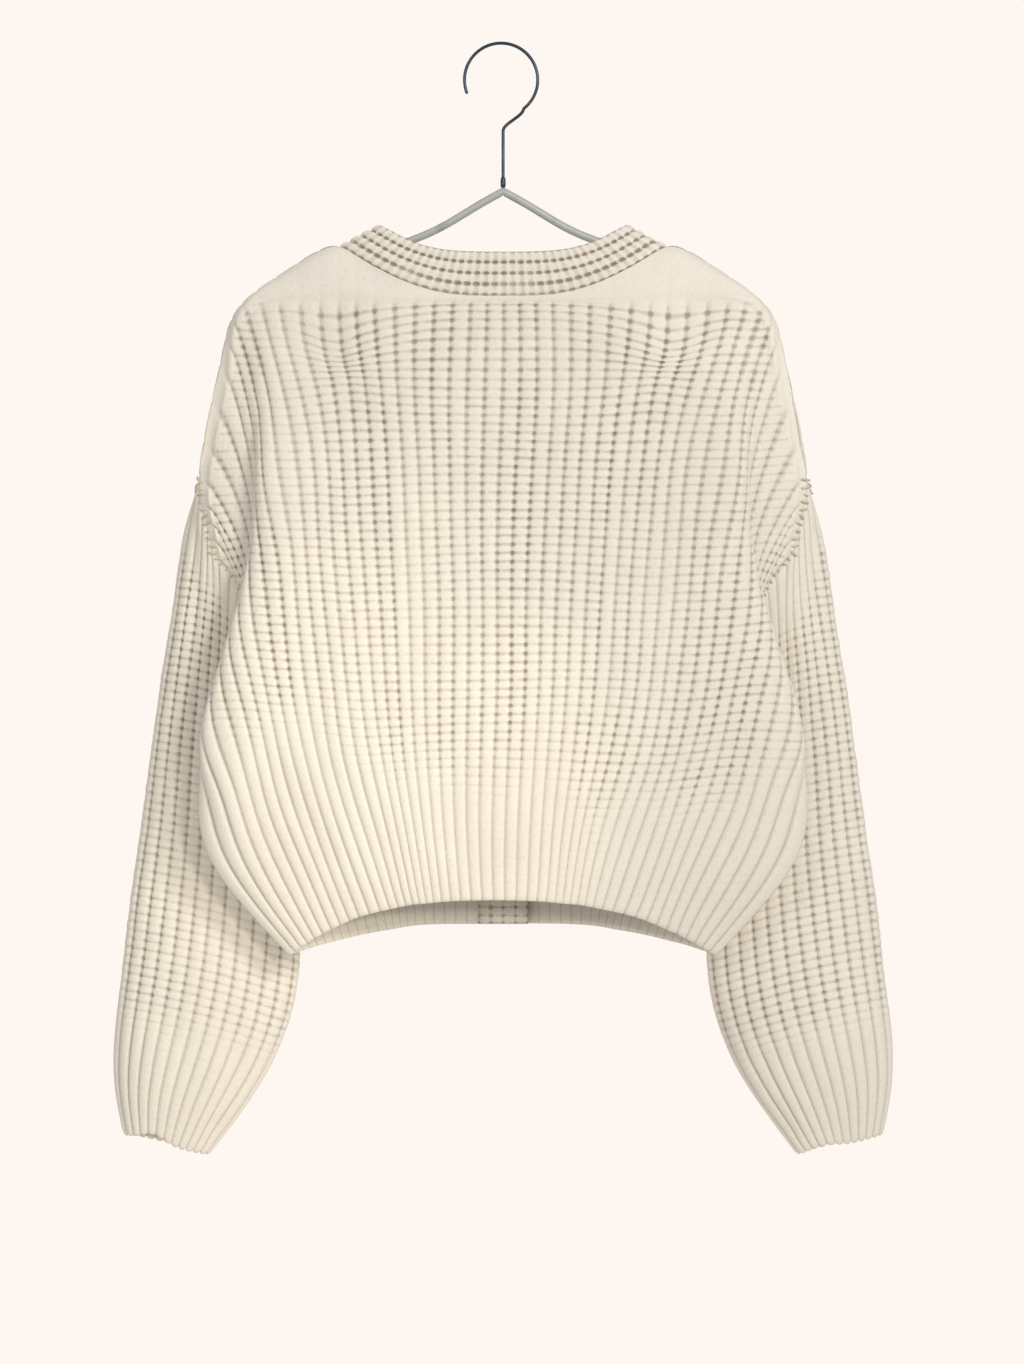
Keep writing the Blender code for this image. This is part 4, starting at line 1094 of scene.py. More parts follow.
def sew(back, back_n, front, front_n):
    """Shared seams for one side of the body. Returns the sleeve's sheet."""
    shift = len(half_ribs) - len(front_ribs)
    for k, rib in enumerate(front_ribs):
        if NECK_RIB <= rib <= SHOULDER_RIB:
            both = unit(back_n[0, k + shift] + front_n[0, k])
            back_n[0, k + shift] = both
            front_n[0, k] = both
            front[0, k] = back[0, k + shift]
    both = unit(back_n[underarm_row:, -1] + front_n[underarm_row:, -1])
    back_n[underarm_row:, -1] = both
    front_n[underarm_row:, -1] = both
    front[underarm_row:, -1] = back[underarm_row:, -1]
    keys, underarm = armhole_loop()
    sheets = {"back": (back, back_n), "front": (front, front_n)}
    loop = np.array([sheets[panel][0][i, j] for panel, i, j in keys])
    loop_n = np.array([sheets[panel][1][i, j] for panel, i, j in keys])
    places = rib_places(0, SLEEVE_RIBS)[:-1]
    rings = np.array([ring_from_loop(loop, underarm, places)]
                     + [sleeve_ring(row, places) for row in SLEEVE_RINGS])
    steps = np.linalg.norm(np.diff(rings, axis=0), axis=2).mean(axis=1)
    length = cumulative(steps)
    sleeve = level_rows(natural_spline(length, rings, np.linspace(0, length[-1], 400)))
    sleeve_n = ring_normals(sleeve)
    arm_n = sleeve_n[0][nearest_of(loop, sleeve[0])]
    share = np.clip(np.sum(loop_n * arm_n, axis=1) / SHARED_FROM, 0, 1)[:, None]
    share[underarm] = 0.0
    sleeve_loop_n = unit(arm_n + share * loop_n)
    body_loop_n = unit(loop_n + share * arm_n)
    for (panel, i, j), direction in zip(keys, body_loop_n):
        sheets[panel][1][i, j] = direction
    turned = ring_from_loop(np.concatenate([loop, sleeve_loop_n], axis=1), underarm, places)
    sleeve_n[0] = unit(turned[:, 3:])
    sleeve_n = ease_from_edge(sleeve, sleeve_n, 0, 0)
    return sleeve, sleeve_n, loop, body_loop_n, length[-1]


middle = len(back_ribs) // 2
half_ribs = back_ribs[middle:]
HALF = {"left": slice(middle, None), "right": slice(middle, None, -1)}
FOLD_COURSE, FOLD_REACH = 1.75, 0.7
sewn = {}
for side in SIGN:
    back = to_side(back_points[:, HALF[side]], side)
    back_n = to_side(back_normals[:, HALF[side]], side)
    front, front_n = front_sheets[side]
    sleeve, sleeve_n, loop, loop_n, sleeve_length = sew(back, back_n, front, front_n)
    fold = 1 - smooth_step(1 - np.abs(body_courses - FOLD_COURSE) / FOLD_REACH)[:, None]
    back_n = ease_from_edge(back, back_n, 0, 0)
    back_n = ease_from_edge(back, back_n, 1, -1, hold=fold)
    front_n = ease_from_edge(front, front_n, 0, 0)
    front_n = ease_from_edge(front, front_n, 1, -1, hold=fold)
    sewn[side] = {"back": back, "back_n": back_n, "front": front, "front_n": front_n,
                  "sleeve": sleeve, "sleeve_n": sleeve_n, "loop": loop, "loop_n": loop_n}
    back_points[:, HALF[side]] = to_side(back, side)
    back_normals[:, HALF[side]] = to_side(back_n, side)
print("sleeve length along its middle: %.0f mm" % sleeve_length)

# %% [markdown]
# ## The back and the fronts as cloth
#
# Rows of stitches show on most of the body. Toward the hem the yarn is drawn tight, and the ribs
# run smooth: from low down on the right, and from higher up on the left. Above the rib line lies a
# plain yoke with only a hint of ribs. Toward the sides the ribs slant but the rows stay level, so
# there the rows are counted by height instead of along the rib.

# %% Where ribs and rows show
PLAIN_UNTIL_RIB = 13.2
OPENED_RIB, OPENED_WIDTH, OPENED_ROWS = 14.6, 1.5, 5.0
LEVEL_FROM_RIB, LEVEL_OVER_RIBS = 9.0, 6.0
LEVEL_DRIFT = 0.5       # of a row


def rib_widths(points):
    down = unit(np.gradient(points, axis=0))
    step = np.gradient(points, axis=1)
    step = step - np.sum(step * down, axis=-1, keepdims=True) * down
    return np.linalg.norm(step, axis=-1)


def rise_of(points, ribs):
    """Highest allowed rib at each point, in mm."""
    width = rib_widths(points) / np.maximum(np.gradient(ribs), 1e-6)
    return np.minimum(RIB_RISE, RISE_PER_WIDTH * width)


def yoke_share(rib, course):
    """How much of the ribs' height is left: little on the yoke, all of it below the rib line."""
    below = smooth_step((course - LINE_COURSE) / 0.06)
    plain = 0.1 + 0.9 * below
    beside = 0.12 + 0.88 * smooth_step((course - 0.05) / 0.3)
    outward = smooth_step((np.abs(rib) - PLAIN_UNTIL_RIB) / 1.6)
    return plain * (1 - outward) + beside * outward


def shoulder_gaps(rib, row):
    """Where the knit is pulled open beside the yoke."""
    across = np.exp(-((np.abs(rib) - OPENED_RIB) / OPENED_WIDTH) ** 2)
    return across * smooth_step((row + 1.5) / 1.0) * (1 - smooth_step((row - OPENED_ROWS) / 4.0))


def finish_edge(heights):
    """Round off the last rows at a free lower edge."""
    for step, (keep, sink) in enumerate(((0.45, 0.9), (0.78, 0.35), (0.93, 0.08))):
        heights[-1 - step] = heights[-1 - step] * keep - sink
    return heights


def level_share(rib):
    """How far the rows of stitches keep level where the ribs slant, toward a panel's sides."""
    return smooth_step((np.abs(rib) - LEVEL_FROM_RIB) / LEVEL_OVER_RIBS)


def knit_rows(points, ribs, course):
    """Rows of stitches below the rib line at each point of a body panel."""
    rib = np.broadcast_to(ribs, course.shape)
    share = level_share(rib)
    level = (RIB_LINE_Z - points[..., 2]) / ROW_PITCH
    level = level + LEVEL_DRIFT * slow_wave(rib * 0.9, level * 0.1, 71)
    return to_rows(course) * (1 - share) + level * share


# %% Make the panels
STITCHED_FADE = 60      # mm over which the rows of stitches fade toward the hem
UNDER_YOKE_RIDGE = (1.3, -3.2, 2.6)     # height, place below the line and width, in mm
UNDER_YOKE_TROUGH = (-1.5, 0.0, 1.5)
RIDGE_UNTIL_RIB = 12.0


def stitched_share(z, rib, row, seed, smooth_from):
    """Where the rows of stitches show on a panel, from 0 to 1."""
    start = np.interp(rib[0], (-24, -8, 8, 24), smooth_from)[None, :]
    start = start + 22 * slow_wave(rib * 1.1, row * 0.0, seed + 5)
    share = 0.1 + 0.9 * smooth_step((z - start) / STITCHED_FADE)
    by_rib = np.random.default_rng(seed + 9).uniform(-0.3, 0.2, 64)[np.floor(rib).astype(int) % 64]
    share = share * (0.84 + by_rib + 0.3 * slow_wave(rib * 0.5, row * 0.12, seed + 7))
    return np.clip(share, 0, 1) * smooth_step((row + 0.2) / 1.2)


def panel_heights(points, ribs, course, seed, creases, smooth_from, plain_yoke):
    """Outward height of a body panel and the numbers stored for its wool."""
    rib = np.broadcast_to(ribs, course.shape)
    row = to_rows(course)
    stitched = stitched_share(points[..., 2], rib, row, seed, smooth_from)
    if plain_yoke:
        opened = shoulder_gaps(rib, row)
        share = yoke_share(rib, course)
    else:
        opened = np.zeros(rib.shape)
        share = 0.25 + 0.75 * smooth_step((course - course[:1]) / 0.2)
    stitched = np.maximum(stitched, opened)
    rows = knit_rows(points, ribs, course)
    rounded, holes = stitch_relief(rib, rows, stitched, seed, level_share(rib))
    near = 1 - smooth_step(np.abs(course - UNDERARM_COURSE) / PRESSED_COURSES)
    beside = smooth_step((np.abs(rib) - SIDE_RIB + PRESSED_RIBS) / PRESSED_RIBS)
    pressed = 1 - PRESSED * near * beside
    heights = (rise_of(points, ribs) * rounded + holes * (1 + 0.7 * opened)) * share * pressed
    if plain_yoke:
        yoke = 1 - smooth_step((np.abs(rib) - RIDGE_UNTIL_RIB) / 2.0)
        for height, place, width in (UNDER_YOKE_RIDGE, UNDER_YOKE_TROUGH):
            off = (course - LINE_COURSE) * COURSE_MM - place
            heights = heights + yoke * height * np.exp(-(off / width) ** 2)
    heights = heights + crease_heights(rib, course, creases) * edge_window(rib, course, None)
    ribbed = smooth_step((share - 0.1) / 0.8) * (0.35 + 0.65 * pressed)
    amounts = {"stitched": stitched, "ribbed": ribbed, "opened": opened}
    knit = np.stack([rib, rows], axis=-1)
    return finish_edge(heights), knit, amounts


def stand_back(edge, neighbour):
    return edge + unit(neighbour - edge) * SEAM_GAP


heights, knit, amounts = panel_heights(back_points, back_ribs, back_course, BACK_SEED, BACK_CREASES,
                                       (-655, -668, -650, -585), True)
for column, beside in ((-1, -2), (0, 1)):
    back_points[:, column] = stand_back(back_points[:, column], back_points[:, beside])
back_piece = cloth_wall("back_cloth", back_points, back_normals, heights, knit, amounts, wool)

front_pieces = {}
for side in SIGN:
    front, front_n = sewn[side]["front"].copy(), sewn[side]["front_n"]
    heights, knit, amounts = panel_heights(front, front_ribs, front_course[side], FRONT_SEED[side],
                                           FRONT_CREASES, (-640, -640, -660, -640), False)
    front[:, -1] = stand_back(front[:, -1], front[:, -2])
    front_pieces[side] = cloth_wall("front_%s_cloth" % side, to_side(front, side),
                                    to_side(front_n, side), heights, knit, amounts, wool)

# %% [markdown]
# ## The sleeves as cloth
#
# The first rows below the armhole are drawn smooth, as in the photo, and so are the last rows above
# the cuff. One long groove runs down the upper sleeve, and the tube has soft troughs where it hangs
# against the body.

# %% Creases and smooth ends of the sleeves
SLEEVE_CREASES = {
    "left": (
        (1.2, 0.5, 2.6, 2.4, 8, 2.6),
        (6.0, 1.4, 7.8, 3.9, 15, 2.4),
        (10.0, 3.2, 8.8, 5.4, 12, 2.0),
        (8.6, 5.9, 10.4, 7.9, 11, 3.4),
        (4.0, 4.3, 5.4, 6.4, 16, -1.6),
        (15.0, 1.6, 17.4, 3.8, 15, 2.2),
        (19.0, 4.1, 17.8, 6.6, 14, -1.8),
        (21.4, 5.2, 20.0, 7.5, 13, 1.9),
    ),
    "right": (
        (0.8, 0.7, 2.2, 2.8, 8, 2.2),
        (5.2, 1.2, 6.8, 3.2, 14, 2.1),
        (9.2, 2.6, 8.4, 5.0, 13, 2.3),
        (9.4, 6.2, 10.6, 8.0, 12, 2.2),
        (3.6, 5.0, 5.0, 7.0, 15, -1.5),
        (15.4, 2.0, 17.0, 4.4, 15, 2.3),
        (18.6, 4.8, 17.6, 7.0, 14, -1.6),
        (21.8, 4.6, 20.6, 6.9, 12, 1.7),
    ),
}
SMOOTH_TOP_ROWS = 6
SMOOTH_CUFF_ROWS = 11
CUFF_NOTCH = 1.6
CUFF_POINT = 2.4        # mm that each rib's crest stands out below the cuff
CUFF_WAVE = {"left": (3.6, 2.2, 7.5), "right": (7.6, 2.4, 4.0)}     # rib, width, lift in mm
CUFF_WAVE_ROWS = 9
UNDER_ARM_REACH = 70    # mm of sleeve that lies against the body
SLEEVE_SEED = {"left": 51, "right": 67}


def trim_cuff(sleeve, places, row, side):
    """Give a cuff its notched and gently waved edge."""
    down = unit(sleeve[-1] - sleeve[-2])
    crest = np.sqrt(np.clip(1 - np.abs(2 * (places % 1) - 1) ** 2, 0, 1))[:, None]
    for step, reach in enumerate((1.0, 0.7, 0.35)):
        sleeve[-1 - step] += down * (crest * CUFF_POINT - CUFF_NOTCH) * reach
    wave_at, wave_width, lift = CUFF_WAVE[side]
    wave = lift * np.exp(-((places - wave_at) / wave_width) ** 2)
    near = smooth_step((row - SLEEVE_ROWS + CUFF_WAVE_ROWS) / CUFF_WAVE_ROWS)
    sleeve -= down * wave[:, None] * near[..., None]


# %% Make the sleeves
sleeve_pieces = {}
for side in SIGN:
    sleeve, sleeve_n = sewn[side]["sleeve"], sewn[side]["sleeve_n"]
    places = rib_places(0, SLEEVE_RIBS)[:-1]
    row = np.repeat(row_places(SLEEVE_ROWS)[:, None], len(places), axis=1)
    rib = np.broadcast_to(places, row.shape)
    seed = SLEEVE_SEED[side]
    wrapped = np.concatenate([sleeve, sleeve[:, :1]], axis=1)
    rise = rise_of(wrapped, rib_places(0, SLEEVE_RIBS))[:, :-1]
    steps = np.linalg.norm(np.diff(sleeve, axis=0), axis=2)
    from_seam = np.concatenate([np.zeros((1, len(places))), np.cumsum(steps, axis=0)]) / ROW_PITCH
    top = SMOOTH_TOP_ROWS + 2.5 * slow_wave(rib * 0.8, row * 0.0, seed)
    above_cuff = smooth_step((SLEEVE_ROWS - SMOOTH_CUFF_ROWS - row) / 7)
    uneven = 0.78 + 0.3 * slow_wave(rib * 0.5, row * 0.12, seed + 7)
    stitched = np.clip(smooth_step((from_seam - top) / 4) * above_cuff * uneven, 0.08, 1)
    rounded, holes = stitch_relief(rib, row, stitched, seed)
    under = 1 - smooth_step(np.abs(places - SLEEVE_RIBS / 2) / PRESSED_RIBS)[None, :]
    near = 1 - smooth_step(from_seam * ROW_PITCH / UNDER_ARM_REACH)
    share = (0.3 + 0.7 * smooth_step(from_seam / 1.6)) * (1 - PRESSED * under * near)
    window = smooth_step(from_seam / 5) * smooth_step((SLEEVE_ROWS - row) / 4)
    course = from_seam * ROW_PITCH / COURSE_MM
    creases = crease_heights(rib, course, SLEEVE_CREASES[side], SLEEVE_RIBS) * window
    heights = finish_edge((rise * rounded + holes) * share + creases)
    trim_cuff(sleeve, places, row, side)
    amounts = {"stitched": stitched, "ribbed": smooth_step(share), "opened": np.zeros(rib.shape)}
    sleeve_pieces[side] = cloth_wall(
        "sleeve_%s_cloth" % side, to_side(sleeve, side), to_side(sleeve_n, side), heights,
        np.stack([rib, row], axis=-1), amounts, wool, closed=True)

# %% [markdown]
# ## The band
#
# One strip four ribs wide runs up the left front, round the neck and down the right front. Its
# stitches follow the strip, so they are counted along its length. On the back neck they show as
# rows of dark holes, the strongest where the band is sewn on. Their dark is partly real shadow in
# the sunken mesh and partly painted shade from the wool.

# %% Stations of the band
BAND_WIDTH = 43
BAND_RIBS = 4
BAND_GAP = 0.3
NECKLINE_SHIFT = (-39, 0, 18)       # from the sewn edge of the neckline to the free edge
NECKLINE_TURN = 1.5     # ribs over which the band turns from the front edge into the neckline
BACK_NECK_FREE = {
    # rib under it: free edge of the band (across, depth, height)
    0: (0, 15, -179.5),
    3: (36, 14.5, -178.7),
    5: (58, 13.5, -176),
    6.5: (78, 11, -170),
    8: (97, 7, -160),
    9: (106, 0, -155),
}


def band_half(side):
    """Sewn edge, free edge and direction of half the band, from the hem to the back of the neck."""
    sheets = sewn[side]
    front, front_n = sheets["front"], sheets["front_n"]
    straight = np.array([-BAND_WIDTH, 0.0, 0.0])
    rows = [(front[i, 0], front[i, 0] + straight, front_n[i, 0])
            for i in range(len(body_courses) - 1, 0, -len(ROW_AT))]
    for k, rib in enumerate(front_ribs):
        if rib < NECK_RIB - 0.05 and k % 2 == 0:
            turn = smooth_step((rib - FRONT_EDGE_RIB) / NECKLINE_TURN)
            shift = straight * (1 - turn) + np.array(NECKLINE_SHIFT, float) * turn
            rows.append((front[0, k], front[0, k] + shift, front_n[0, k]))
    names = sorted(BACK_NECK_FREE)
    table = np.array([BACK_NECK_FREE[rib] for rib in names], float)
    for j in range(len(half_ribs) - 1, -1, -1):
        rib = half_ribs[j]
        if rib <= NECK_RIB + 1e-6 and j % 2 == 0:
            free = natural_spline(names, table, np.array([rib]))[0]
            rows.append((sheets["back"][0, j], free, sheets["back_n"][0, j]))
    return to_side(np.array(rows), side)


EDGE_SMOOTHINGS = 6
left_band, right_band = band_half("left"), band_half("right")
stations = np.concatenate([left_band, right_band[-2::-1]])
middle_line = stations[:, :2].mean(axis=1)
length = cumulative(np.linalg.norm(np.diff(middle_line, axis=0), axis=1))
band_rows = int(round(length[-1] / ROW_PITCH))
at = row_places(band_rows) / band_rows * length[-1]
flat_stations = stations.reshape(len(stations), 9)
even = np.stack([np.interp(at, length, column) for column in flat_stations.T], axis=1)
for _ in range(EDGE_SMOOTHINGS):
    even[1:-1] = (even[:-2] + 2 * even[1:-1] + even[2:]) / 4
edge, free, seam_normal = even[:, 0:3], even[:, 3:6], unit(even[:, 6:9])
print("band: %.0f mm long, %d rows" % (length[-1], band_rows))

# %% Directions of the band
NORMAL_SMOOTHINGS = 14
SEWN_REACH = 0.8        # ribs over which the band bends to the cloth it is sewn to

band_places = rib_places(0, BAND_RIBS)
share = band_places / BAND_RIBS
band_grid = edge[:, None] * (1 - share[None, :, None]) + free[:, None] * share[None, :, None]
band_normals = unit(np.cross(np.gradient(band_grid, axis=0), np.gradient(band_grid, axis=1)))
if band_normals[0, 6, 1] > 0:
    band_normals = -band_normals
for _ in range(NORMAL_SMOOTHINGS):
    smoothed = band_normals.copy()
    smoothed[1:-1] = band_normals[:-2] + 2 * band_normals[1:-1] + band_normals[2:]
    band_normals = unit(smoothed)
toward = (1 - smooth_step(band_places / SEWN_REACH))[None, :, None]
band_normals = unit(band_normals * (1 - toward) + seam_normal[:, None] * toward)
band_grid[:, 0] += unit(band_grid[:, 1] - band_grid[:, 0]) * BAND_GAP

# %% Make the band
BAND_FULLNESS = 1.15    # its ribs stand up a little more for their width
OPENED_BAND_RIB = 0.9   # where the band's holes are widest, near the sewn edge

band_row = np.repeat(row_places(band_rows)[:, None], len(band_places), axis=1)
band_rib = np.broadcast_to(band_places, band_row.shape)
band_stitched = np.clip(0.86 + 0.16 * slow_wave(band_rib * 0.5, band_row * 0.15, 81), 0, 1)
# Widens the holes, with their painted shade and bump, near the sewn edge.
band_open = np.exp(-((band_rib - OPENED_BAND_RIB) / 0.5) ** 2) * 0.7
rounded, holes = stitch_relief(band_rib, band_row, band_stitched, 83)
band_rise = min(RIB_RISE, RISE_PER_WIDTH * BAND_WIDTH / BAND_RIBS * BAND_FULLNESS)
side_edge = 1 - 0.5 * np.isclose(band_places, BAND_RIBS)[None, :]
band_heights = (band_rise * rounded + holes) * side_edge
band_heights[[0, -1]] = band_heights[[0, -1]] * 0.4 - 0.6
band_knit = np.stack([band_rib, band_row], axis=-1)
band_piece = cloth_wall("band_cloth", band_grid, band_normals, band_heights, band_knit,
                        {"stitched": band_stitched, "ribbed": 1.0, "opened": band_open}, wool_band)

# %% [markdown]
# ## Tubes
#
# The hanger, the hook and every strand of sewing yarn are round in section. One helper sweeps a
# ring of points along a route and rounds both ends.

# %% Tube helper
def tube_parts(route, radius, sides, caps):
    """Points and faces of a round tube with domed ends, each of `caps` rings."""
    route = np.asarray(route, float)
    along = unit(np.gradient(route, axis=0))
    helper = np.array([0.0, 1.0, 0.0] if abs(along[0, 1]) < 0.9 else [1.0, 0.0, 0.0])
    first = []
    for direction in along:
        helper = unit(helper - direction * (helper @ direction))
        first.append(helper)
    first = np.array(first)
    second = np.cross(along, first)
    angles = np.arange(1, caps + 1) / (caps + 0.4) * math.pi / 2
    head = route[0] - np.sin(angles[::-1])[:, None] * along[0] * radius
    tail = route[-1] + np.sin(angles)[:, None] * along[-1] * radius
    centres = np.concatenate([head, route, tail])
    rim = radius * np.cos(angles)
    sizes = np.concatenate([rim[::-1], np.full(len(route), float(radius)), rim])
    frames = [0] * caps + list(range(len(route))) + [len(route) - 1] * caps
    turn = np.linspace(0, 2 * math.pi, sides, endpoint=False)[None, :, None]
    circle = np.cos(turn) * first[frames][:, None] + np.sin(turn) * second[frames][:, None]
    points = centres[:, None] + circle * sizes[:, None, None]
    ids = np.arange(points.shape[0] * sides).reshape(-1, sides)
    faces = grid_quads(ids, True).tolist() + [ids[0, ::-1].tolist(), ids[-1].tolist()]
    return points.reshape(-1, 3), faces


def joined_piece(name, parts, finish):
    """One object from many (points, faces) parts."""
    points, faces, total = [], [], 0
    for part_points, part_faces in parts:
        points.append(part_points)
        faces += [[total + index for index in face] for face in part_faces]
        total += len(part_points)
    return new_piece(name, np.concatenate(points), faces, finish)


# %% [markdown]
# ## Hanger finishes
#
# The bar shows as pale grey painted wire and the hook as dark blue-grey steel. Paint has a faint
# orange-peel and small scuffs, and steel the same fine grain and scuffs. Both use one group, which
# gives a wear mask and a fine height.

# %% Group: handled metal
handled, start, end = new_group("Handled metal", {"Scuff Scale": 60.0, "Scuff Amount": 0.4},
                                ("Wear", "Grain"))
place = handled.nodes.new("ShaderNodeTexCoord").outputs["Object"]
scuffs = noise(handled, place, start.outputs["Scuff Scale"], 5.0, 0.5)
wear = mask_between(handled, scuffs, 0.52, 0.7, 0.0, 1.0)
put_out(handled, end, {"Wear": product(handled, wear, start.outputs["Scuff Amount"]),
                       "Grain": noise(handled, place, 700.0, 2.0)})


def metal_material(name, colour, worn, roughness, metallic, scuff):
    finish, tree, shader = new_finish(name, {"Metallic": metallic})
    surface = place_group(tree, handled, {"Scuff Amount": scuff})
    tree.links.new(mix_colour(tree, surface["Wear"], colour, worn), shader.inputs["Base Color"])
    rough = mask_between(tree, surface["Wear"], 0.0, 1.0, roughness, roughness + 0.25)
    tree.links.new(rough, shader.inputs["Roughness"])
    tree.links.new(bump(tree, surface["Grain"], 0.00005, 0.4), shader.inputs["Normal"])
    return finish


painted = metal_material("painted_wire", (0.50, 0.52, 0.51), (0.30, 0.30, 0.27), 0.38, 0.25, 0.5)
steel = metal_material("dark_steel", (0.055, 0.075, 0.105), (0.16, 0.17, 0.18), 0.34, 0.9, 0.6)

# %% Make the hanger
ARM_RADIUS = 3.4
ARM_ROUTE = ((0, -126), (24, -139.5), (48, -154), (72, -165.5), (94, -173), (116, -179.5),
             (136, -185.5), (156, -193.5), (176, -204), (192, -213), (204, -220.5))
HOOK_RADIUS = 31.5
HOOK_WIRE = 1.4
HOOK_SIDE = 1.7
HOOK_TIP_ANGLE = -20
HOOK_FOOT_ANGLE = 232
HOOK_STEM_TOP = -74
HOOK_SEAT = 3.75
COLLAR_RADIUS = 2.3

half = np.array(ARM_ROUTE, float)
fine_x = np.linspace(0, half[-1, 0], 60)
fine_z = natural_spline(half[:, 0], half[:, 1:2], fine_x)[:, 0]
arm = np.stack([fine_x, np.zeros(60), fine_z], axis=1)
bar_route = np.concatenate([to_side(arm[:0:-1], "right"), arm])
hanger_bar = joined_piece("hanger_wire", [tube_parts(bar_route, ARM_RADIUS, 20, 5)], painted)

turns = np.radians(np.linspace(HOOK_TIP_ANGLE, HOOK_FOOT_ANGLE, 72))
arc = np.stack([HOOK_SIDE + HOOK_RADIUS * np.cos(turns), 0 * turns,
                HOOK_WIRE - HOOK_RADIUS + HOOK_RADIUS * np.sin(turns)], axis=1)
share = np.linspace(0.08, 0.96, 12)
bend = np.stack([arc[-1, 0] * (1 - smooth_step(share)), 0 * share,
                 arc[-1, 2] + (HOOK_STEM_TOP - arc[-1, 2]) * share], axis=1)
foot_z = ARM_ROUTE[0][1] + HOOK_SEAT


def upright(top, foot, count):
    return np.stack([np.zeros(count), np.zeros(count), np.linspace(top, foot, count)], axis=1)


hook_route = np.concatenate([arc, bend, upright(HOOK_STEM_TOP, foot_z, 10)])
collar_route = upright(foot_z + 6.5, foot_z + 1.2, 5)
hanger_hook = joined_piece("hook_wire", [tube_parts(hook_route, HOOK_WIRE, 16, 4),
                                         tube_parts(collar_route, COLLAR_RADIUS, 16, 3)], steel)

# %% [markdown]
# ## Buttons
#
# Five horn buttons close the front. Each is turned with a raised rim and a dished middle, drilled
# with four holes and sewn on with a cross of wool. The disc is a profile spun round its axis, and
# the holes are cut with a Boolean modifier that is applied at once.

# %% Horn and thread
def horn_material():
    finish, tree, shader = new_finish("horn", {})
    surface = place_group(tree, handled, {"Scuff Amount": 0.35})
    squeeze = tree.nodes.new("ShaderNodeMapping")
    squeeze.inputs["Scale"].default_value = (1.0, 1.0, 3.4)
    place = tree.nodes.new("ShaderNodeTexCoord").outputs["Object"]
    tree.links.new(place, squeeze.inputs["Vector"])
    streaks = noise(tree, squeeze.outputs["Vector"], 95.0, 4.0, 0.6)
    tint = mix_colour(tree, mask_between(tree, streaks, 0.36, 0.64), DARK_HORN, PALE_HORN)
    tint = mix_colour(tree, surface["Wear"], tint, WORN_HORN)
    tree.links.new(tint, shader.inputs["Base Color"])
    rough = mask_between(tree, surface["Wear"], 0.0, 1.0, 0.27, 0.5)
    tree.links.new(rough, shader.inputs["Roughness"])
    tree.links.new(bump(tree, surface["Grain"], 0.00004, 0.5), shader.inputs["Normal"])
    return finish


def thread_material(name, colour, dark):
    finish, tree, shader = new_finish(name, {"Sheen Weight": 0.25})
    yarn = place_group(tree, spun, {"Fibre Scale": 1400.0, "Tone Scale": 120.0})
    tint = mix_colour(tree, mask_between(tree, yarn["Tone"], 0.3, 0.7), colour, dark)
    tree.links.new(tint, shader.inputs["Base Color"])
    rough = mask_between(tree, yarn["Fibres"], 0.2, 0.8, 0.82, 0.98)
    tree.links.new(rough, shader.inputs["Roughness"])
    tree.links.new(bump(tree, yarn["Fibres"], 0.0004, 0.6), shader.inputs["Normal"])
    return finish


DARK_HORN = (0.235, 0.135, 0.065)
PALE_HORN = (0.52, 0.37, 0.20)
WORN_HORN = (0.60, 0.47, 0.30)
horn = horn_material()
seam_yarn = thread_material("seam_yarn", (0.74, 0.68, 0.58), (0.50, 0.42, 0.32))

# %% Make the buttons
BUTTON_RADIUS = 12.0
BUTTON_THICK = 4.4
BUTTON_SIDES = 56
HOLE_RADIUS = 1.15
HOLE_OUT = 2.7
MOST_LEAN = 0.4         # as a sine
TURN_BETWEEN = 17       # degrees that each button is turned more than the last
BUTTON_PROFILE = (
    # radius and height, from the middle of the face round the rim to the middle of the back
    (0.0, 0.95), (3.0, 0.95), (6.0, 1.15), (8.0, 1.6), (9.3, 2.1), (10.3, 2.2), (11.2, 2.05),
    (11.8, 1.5), (12.0, 0.7), (11.9, -0.5), (11.4, -1.4), (10.3, -1.95), (8.5, -2.2), (0.0, -2.2))


def spun_disc(profile, sides):
    """Points and faces of a profile spun round its axis."""
    turn = np.linspace(0, 2 * math.pi, sides, endpoint=False)
    rings = [np.stack([r * np.cos(turn), r * np.sin(turn), np.full(sides, z)], axis=1)
             for r, z in profile[1:-1]]
    points = np.concatenate(rings + [[[0, 0, profile[0][1]]], [[0, 0, profile[-1][1]]]])
    ids = np.arange(len(rings) * sides).reshape(-1, sides)
    faces = grid_quads(ids, True).tolist()
    top, bottom = len(points) - 2, len(points) - 1
    for j in range(sides):
        k = (j + 1) % sides
        faces.append([top, ids[0, k], ids[0, j]])
        faces.append([bottom, ids[-1, j], ids[-1, k]])
    return points, faces


def apply_modifiers(piece):
    """Keep the mesh that the modifiers make, and take them off."""
    graph = bpy.context.evaluated_depsgraph_get()
    solid = bpy.data.meshes.new_from_object(piece.evaluated_get(graph))
    piece.modifiers.clear()
    piece.data = solid


